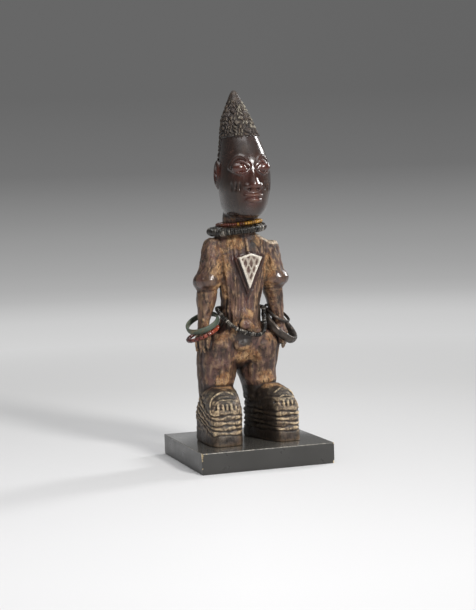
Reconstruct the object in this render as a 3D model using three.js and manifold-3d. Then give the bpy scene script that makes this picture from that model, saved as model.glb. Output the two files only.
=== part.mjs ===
// A Yoruba twin figure (ere ibeji) of carved wood on its display plinth, with beads and bangles.
// Millimetres, +Z up, +X to the figure's left, the figure faces -Y.
// The origin is the middle of the plinth's underside.
import * as THREE from "three";
import { mergeVertices } from "three/addons/utils/BufferGeometryUtils.js";
import Module from "manifold-3d";

const wasm = await Module();
wasm.setup();

// Sizes that can be set by themselves
const figureHeight = 258;
const plinth = { width: 100, depth: 100, height: 15.2, bevel: 0.5 };
const wearGap = 0.4; // air between the wood and what is worn on it
const soleLevel = plinth.height;

// The figure, with what it wears, is drawn in 258ths of its own height, from the soles up
const share = figureHeight / 258;

// How finely the carving is cut
const turns = { hips: 16, chest: 32, leg: 12, foot: 16, arm: 12, head: 16, hair: 18, neck: 12, finger: 4 };
const trunkFlute = { depth: 0.95, from: 94.6, to: 149.4, edge: 1.8 };
const armFlute = { depth: 0.6, from: 124, to: 148 };
const footRidges = { count: 5, from: 8.4, to: 22.4, depth: 0.85, wave: 0.4, waves: 5 };
const toes = { count: 5, low: 24.6, high: 30, depth: 1.3, proud: 0.5, pitch: 3.3, gap: 0.9 };
const instep = { low: 31.4, high: 34.6, depth: 0.9, front: -0.35 };
const hairTuft = { depth: 1.1, rowHeight: 5.2, smoothTip: 250 };

// Key sections, one a row: level, centre across, centre back, half width, depth before and behind
// the centre, squareness (2 is an ellipse). For a limb, across is measured out from the middle,
// and a leg's last number is how far it leans to the figure's right.
const hipKeys = [
  [51.2, -1.8, 13, 6, 6, 7, 2],
  [54, -1.2, 13, 14, 10.5, 11, 2],
  [58.5, -0.4, 12, 21.5, 15.2, 16, 2.1],
  [65, -0.3, 11, 27.5, 18, 18.5, 2.2],
  [72, -0.3, 10, 28.6, 20.2, 20, 2.2],
  [77.5, -0.4, 8, 24.6, 20.5, 18.5, 2.2],
  [82, -0.6, 6.2, 19.2, 19.4, 16, 2.2],
  [86.5, -0.8, 4.2, 16, 17.8, 14, 2.1],
  [91.5, -1.0, 3, 14.9, 16.8, 13, 2.1],
  [96, -1.0, 2.5, 14.8, 16, 12.5, 2.1],
];
const chestKeys = [
  [92, -1.0, 3, 14.2, 16, 12.3, 2.1],
  [96, -1.0, 2.5, 14.8, 16, 12.5, 2.1],
  [101, -0.8, 2, 15.0, 15.6, 12.5, 2.1],
  [109, -0.4, 1, 15.8, 15, 12.5, 2.2],
  [119, 0, 0, 18, 14.6, 13, 2.3],
  [130, 0.2, 0, 20.5, 14.8, 13.5, 2.3],
  [139, 0.3, 0, 22.5, 14.6, 13.5, 2.3],
  [145, 0.3, 0, 22.8, 13.8, 13.2, 2.2],
  [149, 0.3, 0, 21.2, 12.8, 12.6, 2.1],
  [152, 0.2, 0, 17.6, 11.6, 11.8, 2],
];
const neckKeys = [
  [140, 0.2, 0, 15.2, 14.5, 14.5, 2],
  [149, 0.2, 0, 14.4, 13.8, 13.8, 2],
  [155, 0.3, -0.3, 13.4, 13.3, 13.3, 2],
  [166, 0.5, -1.2, 13.2, 13.1, 12.9, 2],
  [174, 0.8, -4, 12.4, 12, 11.6, 2],
];
const armKeys = [
  [74, 30.4, 0.6, 3.8, 5.4, 6, 2],
  [80, 29.9, 1.8, 4.3, 5.6, 5.8, 2],
  [85, 29.4, 2.8, 4.6, 5.8, 6, 2],
  [89, 28.9, 3, 4.8, 5.8, 5.8, 2],
  [93, 28.2, 3.2, 5.5, 6.2, 5.8, 2],
  [97, 27.7, 3.4, 6.1, 6.8, 6, 2.1],
  [105, 26.5, 3.8, 7.4, 8, 8, 2.2],
  [110.5, 25.9, 3, 7.7, 8.4, 8.4, 2.2],
  [113.2, 25.9, 2.5, 8.4, 9.4, 8.8, 2.1],
  [115.6, 26.3, 1.5, 10.1, 11.8, 9.8, 2],
  [119, 26.5, 0.5, 10.5, 12.2, 10.2, 2],
  [122, 25.8, 0.5, 10.1, 11.6, 10.2, 2],
  [125.5, 24.3, 0, 9.0, 10.6, 10.2, 2.1],
  [132, 22.8, 0, 8.6, 10.8, 10.4, 2.2],
  [140, 21.6, 0, 8.5, 10.4, 10.2, 2.3],
  [145, 20.9, 0, 8.0, 9.2, 9.2, 2.3],
  [148.5, 20.4, 0, 6.2, 7.2, 7.2, 2.1],
  [150.2, 20, 0, 3.6, 4.5, 4.5, 2],
];
const legKeys = [
  [28, 17.4, 9, 13.2, 17, 11, 2.2, 1.6],
  [36, 17.2, 11, 12.8, 15.4, 11, 2.2, 2.2],
  [43, 16.6, 12, 13.2, 16.2, 12.3, 2.2, 2.4],
  [50.6, 15.3, 12, 14.8, 17.5, 14.5, 2.2, 2.3],
  [57, 16.3, 11.5, 14.5, 18.8, 16.5, 2.2, 1.7],
  [64, 16, 11, 15, 19.5, 18, 2.2, 0.9],
  [72, 15.6, 10, 14.6, 19.5, 19, 2.2, 0.3],
  [80, 13.5, 8.5, 11.5, 16, 16, 2.1, 0],
];
const footKeys = [
  [0, 23.4, -6.5, 9.9, 23.8, 24, 5.6],
  [1.2, 23.4, -6.5, 10.4, 24.3, 24.5, 5.6],
  [10, 23.4, -6.5, 10.4, 24.3, 24.5, 5],
  [21, 23.3, -6.5, 10.8, 24.4, 24.3, 4.5],
  [28, 23.1, -6.5, 10, 23.6, 24, 3.8],
  [33, 22.8, -6.4, 8.8, 21.4, 23.4, 3.2],
  [36.6, 22.5, -6.2, 7.2, 17.6, 22, 2.8],
  [39, 22.2, -6, 5.2, 12.6, 19, 2.5],
  [40.6, 21.9, -6, 3, 7.2, 14, 2.3],
];
const heelSpread = 12.6; // how much further in the heels reach than the toes
const footWider = { right: 2, left: -0.6, outward: 0.35 }; // the right foot is the broader one
const headKeys = [
  [164.2, 1.4, -9, 6, 13, 7, 2],
  [165.4, 1.5, -8, 10.5, 18.5, 11, 2],
  [167.8, 1.5, -7, 13.8, 21.3, 15.6, 2],
  [171.6, 1.5, -7, 15.8, 22.4, 18, 2.1],
  [178, 1.6, -8, 17.4, 21.8, 19.8, 2.1],
  [184.8, 1.7, -8.7, 18.7, 21.3, 20.5, 2.1],
  [193, 1.8, -8.8, 19, 21, 21.6, 2.1],
  [201, 1.9, -8.6, 18.3, 20.6, 20.8, 2.1],
  [208, 1.8, -7.6, 17, 19.9, 19.2, 2.1],
  [215, 1.5, -6.2, 15.4, 18.2, 17, 2.1],
  [222.8, 0.9, -4.2, 13.7, 16, 14.6, 2],
  [229, 0.4, -2.6, 11.4, 13, 12, 2],
];
const hairKeys = [
  [182, 1.7, -8.4, 19.8, 21.8, 22.4, 2.1],
  [193, 1.8, -8.8, 20.6, 22.2, 23.2, 2.1],
  [201, 1.9, -8.6, 19.9, 21.8, 22.4, 2.1],
  [208, 1.8, -7.6, 18.6, 21.1, 20.9, 2.1],
  [215, 1.5, -6.2, 16.9, 19.4, 18.7, 2.1],
  [222.8, 0.9, -4.2, 15.2, 17.2, 16.2, 2],
  [230, 0.3, -1.9, 13.2, 15.0, 14.4, 2],
  [235.8, 0, -0.5, 11.7, 13.2, 13.6, 2],
  [241.8, 0, 0.8, 9.3, 10.4, 11, 2],
  [247.8, 0, 1.8, 6.6, 7.5, 7.8, 2],
  [252.8, -0.2, 2.4, 4.2, 4.7, 4.9, 2],
  [256.2, -0.3, 2.6, 2.5, 2.8, 2.9, 2],
  [258, -0.3, 2.7, 0.9, 1, 1, 2],
];
const noseKeys = [
  [183, 0, -27, 3.6, 3.4, 3, 2],
  [184.8, 0, -27, 5.2, 6.2, 3, 2],
  [188, 0, -27, 5.0, 6.6, 3, 2],
  [193, 0, -26.5, 3.6, 5.2, 3, 2],
  [199, 0, -26, 2.6, 3.6, 3, 2],
  [204.5, 0, -25, 2, 2.6, 3, 2],
];

// What the figure wears: each bead, and how loose each ring is on its neck or wrist
const neckDisc = { diameter: 6.2, pitch: 5, waist: 0.86, slack: 3.1 };
const neckSeed = { diameter: 2.7, pitch: 4.8, waist: 0.72, slack: 1.7 };
const waistDisc = { diameter: 3.6, pitch: 5, waist: 0.84 };
const redTube = { diameter: 3, pitch: 5.6, waist: 0.7, slack: 5.6 };
const rightBangle = { thickness: 1.7, width: 4.2, slack: 6.4 };
const thinBangle = { thickness: 1.5, width: 2.2, slack: 5 };
const heavyBangle = { thickness: 3.8, width: 6, slack: 8.4 };

// Where each ring starts before it is let down onto its seat, and how it tilts
const seats = {
  neckDisc: { across: -2, back: 1.2, level: 158, pitch: 0.04, roll: -0.09 },
  neckSeed: { across: -0.3, back: -0.2, level: 160.4, pitch: 0.03, roll: -0.09 },
  redTube: { across: -30.6, back: 2, level: 81.5, pitch: 0.02, roll: -0.41 },
  rightBangle: { across: -30.2, back: 3, level: 89, pitch: 0.31, roll: -0.42 },
  heavyBangle: { across: 30.4, back: 4.2, level: 85, pitch: 0.57, roll: 0.62 },
  thinBangle: { across: 28.7, back: 3.8, level: 95, pitch: 0.45, roll: 0.46 },
};

// The waist string is level at the sides and back and dips in front, a little to the figure's left
const waistDip = { depth: 19.2, at: (-69 * Math.PI) / 180, reachRight: 2.25, reachLeft: 1 };
waistDip.side = hipKeys.at(-1)[0] + 1.4;

// Places on the face, set by the old rule of thirds from the hairline to the chin
const face = { middle: 1.8, hairline: 224, chin: 165.5 };
const third = (face.hairline - face.chin) / 3;
face.brow = face.hairline - third;
face.noseBase = face.chin + third;
face.eye = face.brow - 4.6;
face.mouth = face.noseBase - third / 3;

// The section of a form at a level, eased from one key section to the next
function sectionAt(keys, level) {
  let i = 0;
  while (i < keys.length - 2 && keys[i + 1][0] < level) i++;
  const low = keys[i];
  const high = keys[i + 1];
  const under = keys[Math.max(i - 1, 0)];
  const over = keys[Math.min(i + 2, keys.length - 1)];
  const span = high[0] - low[0];
  const t = Math.min(Math.max((level - low[0]) / span, 0), 1);
  return low.map((value, k) => {
    const leave = ((high[k] - under[k]) / (high[0] - under[0])) * span;
    const arrive = ((over[k] - value) / (over[0] - low[0])) * span;
    const ease = t * t * (3 - 2 * t);
    return value + (high[k] - value) * ease + leave * t * (1 - t) ** 2 - arrive * t * t * (1 - t);
  });
}

// How far forward a form's skin lies at a place across it
function frontOf(keys, x, level) {
  const [, across, back, wide, before, , square] = sectionAt(keys, level);
  return back - before * (1 - (Math.abs(x - across) / wide) ** square) ** (1 / square);
}

// One ring of points round a section, with a relief in millimetres along the way out
function ringOf(section, count, relief = () => 0, turn = 0) {
  const [level, across, back, wide, before, behind, square] = section;
  const points = [];
  for (let i = 0; i < count; i++) {
    const angle = (i / count) * 2 * Math.PI;
    const c = Math.cos(angle);
    const s = Math.sin(angle);
    let x = Math.sign(c) * wide * Math.abs(c) ** (2 / square);
    let y = Math.sign(s) * (s < 0 ? before : behind) * Math.abs(s) ** (2 / square);
    const size = Math.hypot(x, y);
    const grow = (size + relief(angle, level, i)) / size;
    x *= grow;
    y *= grow;
    points.push([
      across + x * Math.cos(turn) - y * Math.sin(turn),
      back + x * Math.sin(turn) + y * Math.cos(turn),
      level,
    ]);
  }
  return points;
}

// A closed skin through rings of points, each end shut by a fan
function skin(rings, closedLoop = false, tufted = false) {
  const count = rings[0].length;
  const places = rings.flat(2);
  const faces = [];
  const steps = closedLoop ? rings.length : rings.length - 1;
  for (let r = 0; r < steps; r++) {
    const low = r * count;
    const high = ((r + 1) % rings.length) * count;
    for (let i = 0; i < count; i++) {
      const j = (i + 1) % count;
      const other = tufted && (i + r) % 2 === 0;
      if (other) faces.push(low + i, low + j, high + i, low + j, high + j, high + i);
      else faces.push(low + i, low + j, high + j, low + i, high + j, high + i);
    }
  }
  if (!closedLoop) {
    for (const [ring, flip] of [[rings[0], true], [rings[rings.length - 1], false]]) {
      const start = ring === rings[0] ? 0 : (rings.length - 1) * count;
      const hub = places.length / 3;
      for (let k = 0; k < 3; k++) places.push(ring.reduce((sum, p) => sum + p[k], 0) / count);
      for (let i = 0; i < count; i++) {
        const j = (i + 1) % count;
        faces.push(hub, start + (flip ? j : i), start + (flip ? i : j));
      }
    }
  }
  const made = new THREE.BufferGeometry();
  made.setAttribute("position", new THREE.Float32BufferAttribute(places, 3));
  made.setIndex(faces);
  return made;
}

// A form through its key sections, with a ring at each given level
function form(keys, levels, count, relief, turn) {
  return skin(levels.map((level) => ringOf(sectionAt(keys, level), count, relief, turn)));
}

// Evenly spaced levels from the first key section to the last
function evenLevels(keys, steps) {
  const first = keys[0][0];
  const last = keys[keys.length - 1][0];
  return Array.from({ length: steps + 1 }, (_, i) => first + ((last - first) * i) / steps);
}

// The same key sections moved out to one side, mirrored for the figure's right
const toSide = (keys, side) => keys.map((row) => [row[0], row[1] * side, ...row.slice(2)]);

// A bead-like egg at a place, with its three half sizes
function egg([x, y, z], [halfX, halfY, halfZ], around = 10, rows = 7) {
  return new THREE.SphereGeometry(1, around, rows)
    .rotateX(Math.PI / 2)
    .scale(halfX, halfY, halfZ)
    .translate(x, y, z);
}

// A round rod along a smooth line through the given places
function rod(places, radius, steps = 6, sides = 6) {
  const line = new THREE.CatmullRomCurve3(places.map((p) => new THREE.Vector3(...p)));
  const circle = new THREE.Shape().absarc(0, 0, radius, 0, 2 * Math.PI);
  return new THREE.ExtrudeGeometry(circle, { steps, curveSegments: sides / 2, extrudePath: line });
}

// Solids for joining and cutting, and back
function toSolid(geometry) {
  const bare = geometry.clone();
  bare.deleteAttribute("normal");
  bare.deleteAttribute("uv");
  const merged = mergeVertices(bare, 1e-4);
  return new wasm.Manifold(
    new wasm.Mesh({
      numProp: 3,
      vertProperties: merged.attributes.position.array,
      triVerts: new Uint32Array(merged.index.array),
    }),
  );
}
const joined = (geometries) => geometries.map(toSolid).reduce((all, next) => all.add(next));
function toGeometry(solid) {
  const mesh = solid.getMesh();
  const made = new THREE.BufferGeometry();
  made.setAttribute("position", new THREE.BufferAttribute(mesh.vertProperties.slice(), 3));
  made.setIndex(new THREE.BufferAttribute(mesh.triVerts.slice(), 1));
  return made;
}

// Hips and belly, and over them the chest with chisel flutes from the waist to the shoulders
const hips = () => form(hipKeys, hipKeys.map((row) => row[0]), turns.hips);
function chest() {
  const flutes = (angle, level, i) => {
    const on = level > trunkFlute.from && level < trunkFlute.to;
    return on && i % 2 ? -trunkFlute.depth : 0;
  };
  const { from, to, edge } = trunkFlute;
  const levels = [chestKeys[0][0], from, from + edge, 109, 124, 139, to - edge, to, chestKeys.at(-1)[0]];
  return form(chestKeys, levels, turns.chest, flutes);
}

// The navel, the mound of the belly below it, and the cord ridge over the pendant
const navel = { place: [-2.6, -13.4, 86.2], half: [4.6, 4.4, 4.1] };
const mound = { place: [-3.2, -8.4, 71.8], half: [7.6, 4.4, 5.3] };
const cord = { places: [[0.2, -13.4, 148], [0.5, -14.9, 143], [1.2, -15.6, 136]], radius: 1.1 };
function bellyRelief() {
  const swells = [egg(navel.place, navel.half, 8, 5), egg(mound.place, mound.half, 10, 6)];
  return [...swells, rod(cord.places, cord.radius, 3, 4)];
}

// The three-cornered pendant carved on the chest, its top a little arched: a base, a plate, its rim
// and its lattice
const pendant = {
  base: [[-9.8, 134.6], [2, 137.4], [13, 134.6], [-0.4, 107.6]],
  plate: [[-7.2, 135.4], [2.2, 138], [10.6, 135.2], [0.6, 112.6]],
  baseFront: -16,
  plateFront: -17.2,
  rimFront: -18.1,
  rim: 1.5,
  root: -12, // how far into the chest its solids reach
  barGap: 4.4,
  barWidth: 1.2,
  barSlant: 0.42,
  barFront: -17.8,
  bars: { from: -22, to: 28, low: 110, high: 140 },
};
function slab(corners, front, back, holes = []) {
  const outline = new THREE.Shape(corners.map(([x, z]) => new THREE.Vector2(x, z)));
  outline.holes = holes.map((hole) => new THREE.Path(hole.map(([x, z]) => new THREE.Vector2(x, z))));
  const flat = new THREE.ExtrudeGeometry(outline, { depth: back - front, bevelEnabled: false, steps: 1 });
  return flat.rotateX(Math.PI / 2).translate(0, back, 0);
}
// An outline, given clockwise, with its sides moved in by a margin
function shrunk(corners, margin) {
  return corners.map((corner, i) => {
    const before = corners[(i + corners.length - 1) % corners.length];
    const after = corners[(i + 1) % corners.length];
    const along = new THREE.Vector2(corner[0] - before[0], corner[1] - before[1]).normalize();
    const on = new THREE.Vector2(after[0] - corner[0], after[1] - corner[1]).normalize();
    const inward = new THREE.Vector2(along.y + on.y, -along.x - on.x).normalize();
    const reach = margin / inward.dot(new THREE.Vector2(on.y, -on.x));
    return [corner[0] + inward.x * reach, corner[1] + inward.y * reach];
  });
}
function pendantSolids() {
  const inside = shrunk(pendant.plate, pendant.rim);
  const frame = slab(pendant.plate, pendant.rimFront, pendant.root, [inside.reverse()]);
  const field = toSolid(slab(shrunk(pendant.plate, pendant.rim / 2), pendant.rimFront, pendant.root));
  const { from, to, low, high } = pendant.bars;
  const half = pendant.barWidth / 2;
  const bars = [];
  for (const lean of [-1, 1]) {
    const shift = lean * pendant.barSlant * (high - low);
    for (let x = from; x <= to; x += pendant.barGap) {
      const bar = [[x - half, low], [x + half, low], [x + half + shift, high], [x - half + shift, high]];
      const kept = toSolid(slab(bar, pendant.barFront, pendant.root)).intersect(field);
      if (kept.numTri() > 0) bars.push(kept);
    }
  }
  const base = slab(pendant.base, pendant.baseFront, pendant.root + 2);
  const plate = slab(pendant.plate, pendant.plateFront, pendant.root + 1);
  return [base, plate, frame].map(toSolid).concat(bars);
}

// Arms hang from the shoulders, swell at the elbows and end in hands laid on the hips
function arm(side) {
  const flutes = (angle, level, i) => {
    const on = level > armFlute.from && level < armFlute.to;
    return on && i % 2 ? -armFlute.depth : 0;
  };
  const levels = [74, 80, 85, 91, 97, 111, 113.4, 115.8, 119, 122, 125.5, 140, 145, 148.5, 150.2];
  return form(toSide(armKeys, side), levels, turns.arm, flutes);
}
const hand = { out: 30.6, back: 0.4, long: 6.5, thick: 3.3, wrist: 84, turn: 0.62 };
hand.tips = { right: 64.6, left: 65 };
const finger = { count: 4, pitch: 3.3, radius: 1.5, length: 14, stand: 2.1, longest: 1.3 };
// The wood left between each wrist and the hip
const web = { across: 20.5, back: 4, width: 5.5, depth: 6, height: 6, rightTop: 83.2, leftTop: 88.9 };
function handSolids(side) {
  const lowest = side < 0 ? hand.tips.right : hand.tips.left;
  const palmKeys = [
    [lowest + 4, hand.out - 0.6, hand.back, 2.4, hand.long - 1, hand.long - 1, 2.4],
    [lowest + 10, hand.out, hand.back, hand.thick, hand.long, hand.long, 2.4],
    [hand.wrist, hand.out - 1.4, hand.back + 1.6, hand.thick + 0.6, hand.long - 0.8, hand.long - 0.8, 2.2],
  ];
  const turn = -side * hand.turn;
  const webMiddle = (side < 0 ? web.rightTop : web.leftTop) - web.height;
  const webSolid = egg([side * web.across, web.back, webMiddle], [web.width, web.depth, web.height], 8, 5);
  const parts = [webSolid, form(toSide(palmKeys, side), evenLevels(palmKeys, 3), 10, undefined, turn)];
  const r = finger.radius;
  for (let f = 0; f < finger.count; f++) {
    const along = (f - (finger.count - 1) / 2) * finger.pitch;
    const x = side * (hand.out + finger.stand * Math.cos(hand.turn) + along * Math.sin(hand.turn));
    const y = hand.back - finger.stand * Math.sin(hand.turn) + along * Math.cos(hand.turn);
    const tip = lowest + Math.abs(f - finger.longest);
    const fingerKeys = [
      [tip, x - side * 0.8 * r, y + 0.5 * r, r / 2, r / 2, r / 2, 2],
      [tip + 1.4 * r, x - side * 0.3 * r, y + 0.3 * r, r, r, r, 2],
      [tip + finger.length - 1.4 * r, x, y, r, r, r, 2],
      [tip + finger.length, x - side * 0.8 * r, y + 0.5 * r, r / 2, r / 2, r / 2, 2],
    ];
    parts.push(form(fingerKeys, fingerKeys.map((row) => row[0]), turns.finger));
  }
  return parts;
}

// Legs: thick thighs that run straight into the feet
function leg(side) {
  const keys = toSide(legKeys, side).map((row) => [row[0], row[1] - row[7], ...row.slice(2)]);
  return form(keys, keys.map((row) => row[0]), turns.leg);
}

// One foot's key sections
function footSide(side) {
  const more = side < 0 ? footWider.right : footWider.left;
  const shift = more * footWider.outward;
  const grown = footKeys.map(([level, across, back, wide, ...rest]) => {
    return [level, across + shift, back, wide + more - shift, ...rest];
  });
  return toSide(grown, side);
}

// Feet: a plain block, wavy stepped ridges, a row of toes and a domed instep with a raised rim
function foot(side) {
  const pitch = (footRidges.to - footRidges.from) / footRidges.count;
  const levels = [footKeys[0][0], footKeys[1][0]];
  for (let r = 0; r < footRidges.count; r++) {
    levels.push(footRidges.from + r * pitch, footRidges.from + (r + 0.55) * pitch);
  }
  levels.push(footRidges.to, toes.low, toes.high, instep.low, instep.high);
  levels.push(...footKeys.slice(-3).map((row) => row[0]));
  const inRidges = (level) => level >= footRidges.from - 0.01 && level <= footRidges.to + 0.01;
  const relief = (angle, level) => {
    const inFront = Math.sin(angle) < instep.front;
    if (level >= toes.low && level <= toes.high && inFront) return toes.proud;
    if (level >= instep.low && level <= instep.high && inFront) return -instep.depth;
    if (!inRidges(level)) return 0;
    const turn = (level - footRidges.from) / pitch;
    return Math.abs(turn - Math.round(turn)) < 0.05 ? -footRidges.depth : 0.15;
  };
  const keys = footSide(side);
  const spread = ([x, y, z], section) => {
    const [, across, back, wide, before, behind] = section;
    const inward = (side * (across - x) / wide + 1) / 2;
    const heel = (y - back + before) / (before + behind);
    return [x - side * heelSpread * inward * heel, y, z];
  };
  const rings = levels.map((level) => {
    const section = sectionAt(keys, level);
    const ring = ringOf(section, turns.foot, relief).map((point) => spread(point, section));
    if (!inRidges(level)) return ring;
    return ring.map(([x, y, z], i) => {
      const angle = (i / turns.foot) * 2 * Math.PI;
      return [x, y, z + footRidges.wave * Math.sin(footRidges.waves * angle + level)];
    });
  });
  return skin(rings);
}
function toeGaps(side) {
  const keys = footSide(side);
  const middle = (toes.low + toes.high) / 2;
  return Array.from({ length: toes.count + 1 }, (_, i) => {
    const x = sectionAt(keys, middle)[1] + (i - toes.count / 2) * toes.pitch;
    const front = frontOf(keys, x, middle) - toes.proud;
    const gap = new THREE.BoxGeometry(toes.gap, 2 * toes.depth, toes.high - toes.low);
    return gap.translate(x, front, middle);
  });
}

// The raised rim that arches over the instep
const rimArch = { reach: 0.93, from: 28.6, rise: 9.8, lift: 0.5, radius: 1, pieces: 8 };
function instepRim(side) {
  const keys = footSide(side);
  const places = [];
  for (let i = 0; i <= rimArch.pieces; i++) {
    const angle = (i / rimArch.pieces) * Math.PI;
    const level = rimArch.from + rimArch.rise * Math.sin(angle) ** rimArch.lift;
    const [, across, , wide] = sectionAt(keys, level);
    const x = across + rimArch.reach * wide * Math.cos(angle);
    places.push([x, frontOf(keys, x, level), level]);
  }
  return rod(places, rimArch.radius, rimArch.pieces, 4);
}

// Head, neck and ears
const ear = { out: 18.8, back: -4.4, half: [2.7, 5.2, 10.8], hollow: [1.6, 3.2, 7.6] };
function earSolid(side) {
  const middle = (face.brow + face.noseBase) / 2 + 1.2;
  const whole = toSolid(egg([face.middle + side * ear.out, ear.back, middle], ear.half, 8, 6));
  const hollowOut = face.middle + side * (ear.out + ear.half[0]);
  const hollow = toSolid(egg([hollowOut, ear.back - 0.6, middle + 0.8], ear.hollow, 6, 4));
  return whole.subtract(hollow);
}
function headSolids() {
  const skull = form(headKeys, headKeys.map((row) => row[0]), turns.head);
  const neck = form(neckKeys, evenLevels(neckKeys, 3), turns.neck);
  return [skull, neck].map(toSolid).concat(earSolid(-1), earSolid(1));
}

// The face: large rimmed eyes, a broad nose and full closed lips, as these figures share
const eye = { apart: 8.6, back: -25.2, half: [6, 3.9, 3.9], lidReach: 6.9, lidRadius: 0.95, lidBulge: 2.6 };
const lidPieces = 4;
function lid(side, lift) {
  const places = [];
  for (let i = 0; i <= lidPieces; i++) {
    const along = (i / lidPieces) * 2 - 1;
    const bow = 1 - along * along;
    const round = 2.2 * Math.max(side * along, 0); // the lid's outer end follows the head round
    const x = face.middle + side * eye.apart + along * eye.lidReach;
    places.push([x, eye.back - 1.4 - eye.lidBulge * bow + round, face.eye + lift * bow]);
  }
  return rod(places, eye.lidRadius, lidPieces, 4);
}
function eyeParts(side) {
  const ball = egg([face.middle + side * eye.apart, eye.back, face.eye], eye.half, 8, 6);
  const lift = eye.half[2] + 0.5;
  return [ball, lid(side, lift), lid(side, -lift)];
}
const nose = { wingOut: 4.7, wingBack: -28.3, wingHalf: [2.5, 3.1, 2.4] };
const lips = { back: -28.6, apart: 2, upperHalf: [7.4, 3.9, 1.9], lowerHalf: [6.8, 3.9, 2] };
function faceParts() {
  const bridge = form(
    noseKeys.map((row) => [row[0], row[1] + face.middle, ...row.slice(2)]),
    noseKeys.map((row) => row[0]),
    10,
  );
  const wingAt = (side) => [face.middle + side * nose.wingOut, nose.wingBack, face.noseBase + 1.6];
  const wings = [-1, 1].map((side) => egg(wingAt(side), nose.wingHalf, 6, 4));
  const upperLip = egg([face.middle, lips.back, face.mouth + lips.apart], lips.upperHalf, 8, 5);
  const lowerLip = egg([face.middle, lips.back + 0.4, face.mouth - lips.apart], lips.lowerHalf, 8, 5);
  return [bridge, ...wings, upperLip, lowerLip, ...eyeParts(-1), ...eyeParts(1)];
}
const cheek = { count: 3, from: 9.6, pitch: 2.4, half: [0.6, 1.1, 3.6] };
function cheekCuts() {
  const level = face.noseBase + 1.4;
  const cuts = [];
  for (const side of [-1, 1]) {
    for (let i = 0; i < cheek.count; i++) {
      const x = face.middle + side * (cheek.from + i * cheek.pitch);
      cuts.push(egg([x, frontOf(headKeys, x, level), level], cheek.half, 6, 4));
    }
  }
  return cuts;
}

// The tall pointed hair, its rows of tufts cut crosswise, level over the brow and low at the nape
const hairEdge = [[-4, face.hairline - 0.6], [0.5, 212], [5, 202], [11, 192], [30, 186]];
function hairSolid() {
  const rows = Math.round((hairKeys.at(-1)[0] - hairKeys[0][0]) / hairTuft.rowHeight);
  const rings = evenLevels(hairKeys, rows).map((level, row) => {
    const tufts = (angle, at, i) => (level < hairTuft.smoothTip && (i + row) % 2 ? -hairTuft.depth : 0);
    return ringOf(sectionAt(hairKeys, level), turns.hair, tufts);
  });
  const mass = toSolid(skin(rings, false, true));
  const over = hairKeys.at(-1)[0] + 4;
  const edge = [[-40, hairEdge[0][1]], ...hairEdge, [30, over], [-40, over]];
  const outline = new THREE.Shape(edge.map(([y, z]) => new THREE.Vector2(y, z)));
  const side = new THREE.ExtrudeGeometry(outline, { depth: 60, bevelEnabled: false, steps: 1 });
  side.rotateY(Math.PI / 2).rotateX(Math.PI / 2).translate(-30, 0, 0);
  return mass.intersect(toSolid(side));
}

// The figure's left shoulder is broken off flat
const shoulderBreak = { size: [22, 40, 10], slope: 0.1, place: [26, 0, 151.6] };
function brokenShoulder() {
  const { size, slope, place } = shoulderBreak;
  return new THREE.BoxGeometry(...size).rotateY(slope).translate(...place);
}

// The figure is one piece of wood
function figureGeometry() {
  let wood = joined([hips(), chest()]);
  for (const side of [-1, 1]) {
    const sole = toSolid(foot(side)).subtract(joined(toeGaps(side)));
    wood = wood.add(sole).add(joined([arm(side), leg(side), instepRim(side)]));
    wood = wood.add(joined(handSolids(side)));
  }
  for (const piece of headSolids()) wood = wood.add(piece);
  wood = wood.add(joined(faceParts())).add(joined(bellyRelief()));
  for (const piece of pendantSolids()) wood = wood.add(piece);
  wood = wood.add(hairSolid());
  for (const cut of cheekCuts()) wood = wood.subtract(toSolid(cut));
  wood = wood.subtract(toSolid(brokenShoulder()));
  return toGeometry(wood).scale(share, share, share);
}

// A closed string of beads along a loop, drawn as one body with a waist between beads
function beadString(loop, bead, sides, drawn = 1) {
  const length = loop.getLength();
  const beads = Math.round(length / (bead.pitch * drawn));
  const stations = beads * 2;
  const frames = loop.computeFrenetFrames(stations, true);
  const rings = [];
  for (let i = 0; i < stations; i++) {
    const place = loop.getPointAt(i / stations);
    const radius = (bead.diameter / 2) * drawn * (i % 2 ? bead.waist : 1);
    const ring = [];
    for (let k = 0; k < sides; k++) {
      const angle = (k / sides) * 2 * Math.PI;
      const out = place
        .clone()
        .addScaledVector(frames.normals[i], radius * Math.cos(angle))
        .addScaledVector(frames.binormals[i], radius * Math.sin(angle));
      ring.push(out.toArray());
    }
    rings.push(ring);
  }
  return skin(rings, true);
}

// A level circle as a closed loop, tilted and placed afterwards
function circleLoop(reach, bead, points = 24) {
  const radius = reach + bead.slack + bead.diameter / 2;
  const places = Array.from({ length: points }, (_, i) => {
    const angle = (i / points) * 2 * Math.PI;
    return new THREE.Vector3(radius * Math.cos(angle), radius * Math.sin(angle), 0);
  });
  return new THREE.CatmullRomCurve3(places, true);
}

// A hoop with a rounded section: a bangle lying level round the origin
function bangleHoop(reach, { thickness, width, slack }, sides, around) {
  const innerRadius = reach + slack;
  const profile = [];
  for (let i = 0; i <= sides; i++) {
    const angle = (i / sides) * 2 * Math.PI;
    const across = innerRadius + thickness / 2 + (thickness / 2) * Math.cos(angle);
    profile.push(new THREE.Vector2(across, (width / 2) * Math.sin(angle)));
  }
  profile[sides].copy(profile[0]);
  return new THREE.LatheGeometry(profile, around).rotateX(Math.PI / 2);
}

// The shortest way straight down or up from any corner of one mesh to the skin of others
function shortestWay(mesh, others, way) {
  const caster = new THREE.Raycaster();
  const places = mesh.geometry.attributes.position;
  let least = Infinity;
  for (let i = 0; i < places.count; i++) {
    const from = new THREE.Vector3().fromBufferAttribute(places, i).applyMatrix4(mesh.matrixWorld);
    caster.set(from, way);
    for (const hit of caster.intersectObjects(others, false)) least = Math.min(least, hit.distance);
  }
  return least;
}

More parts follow.
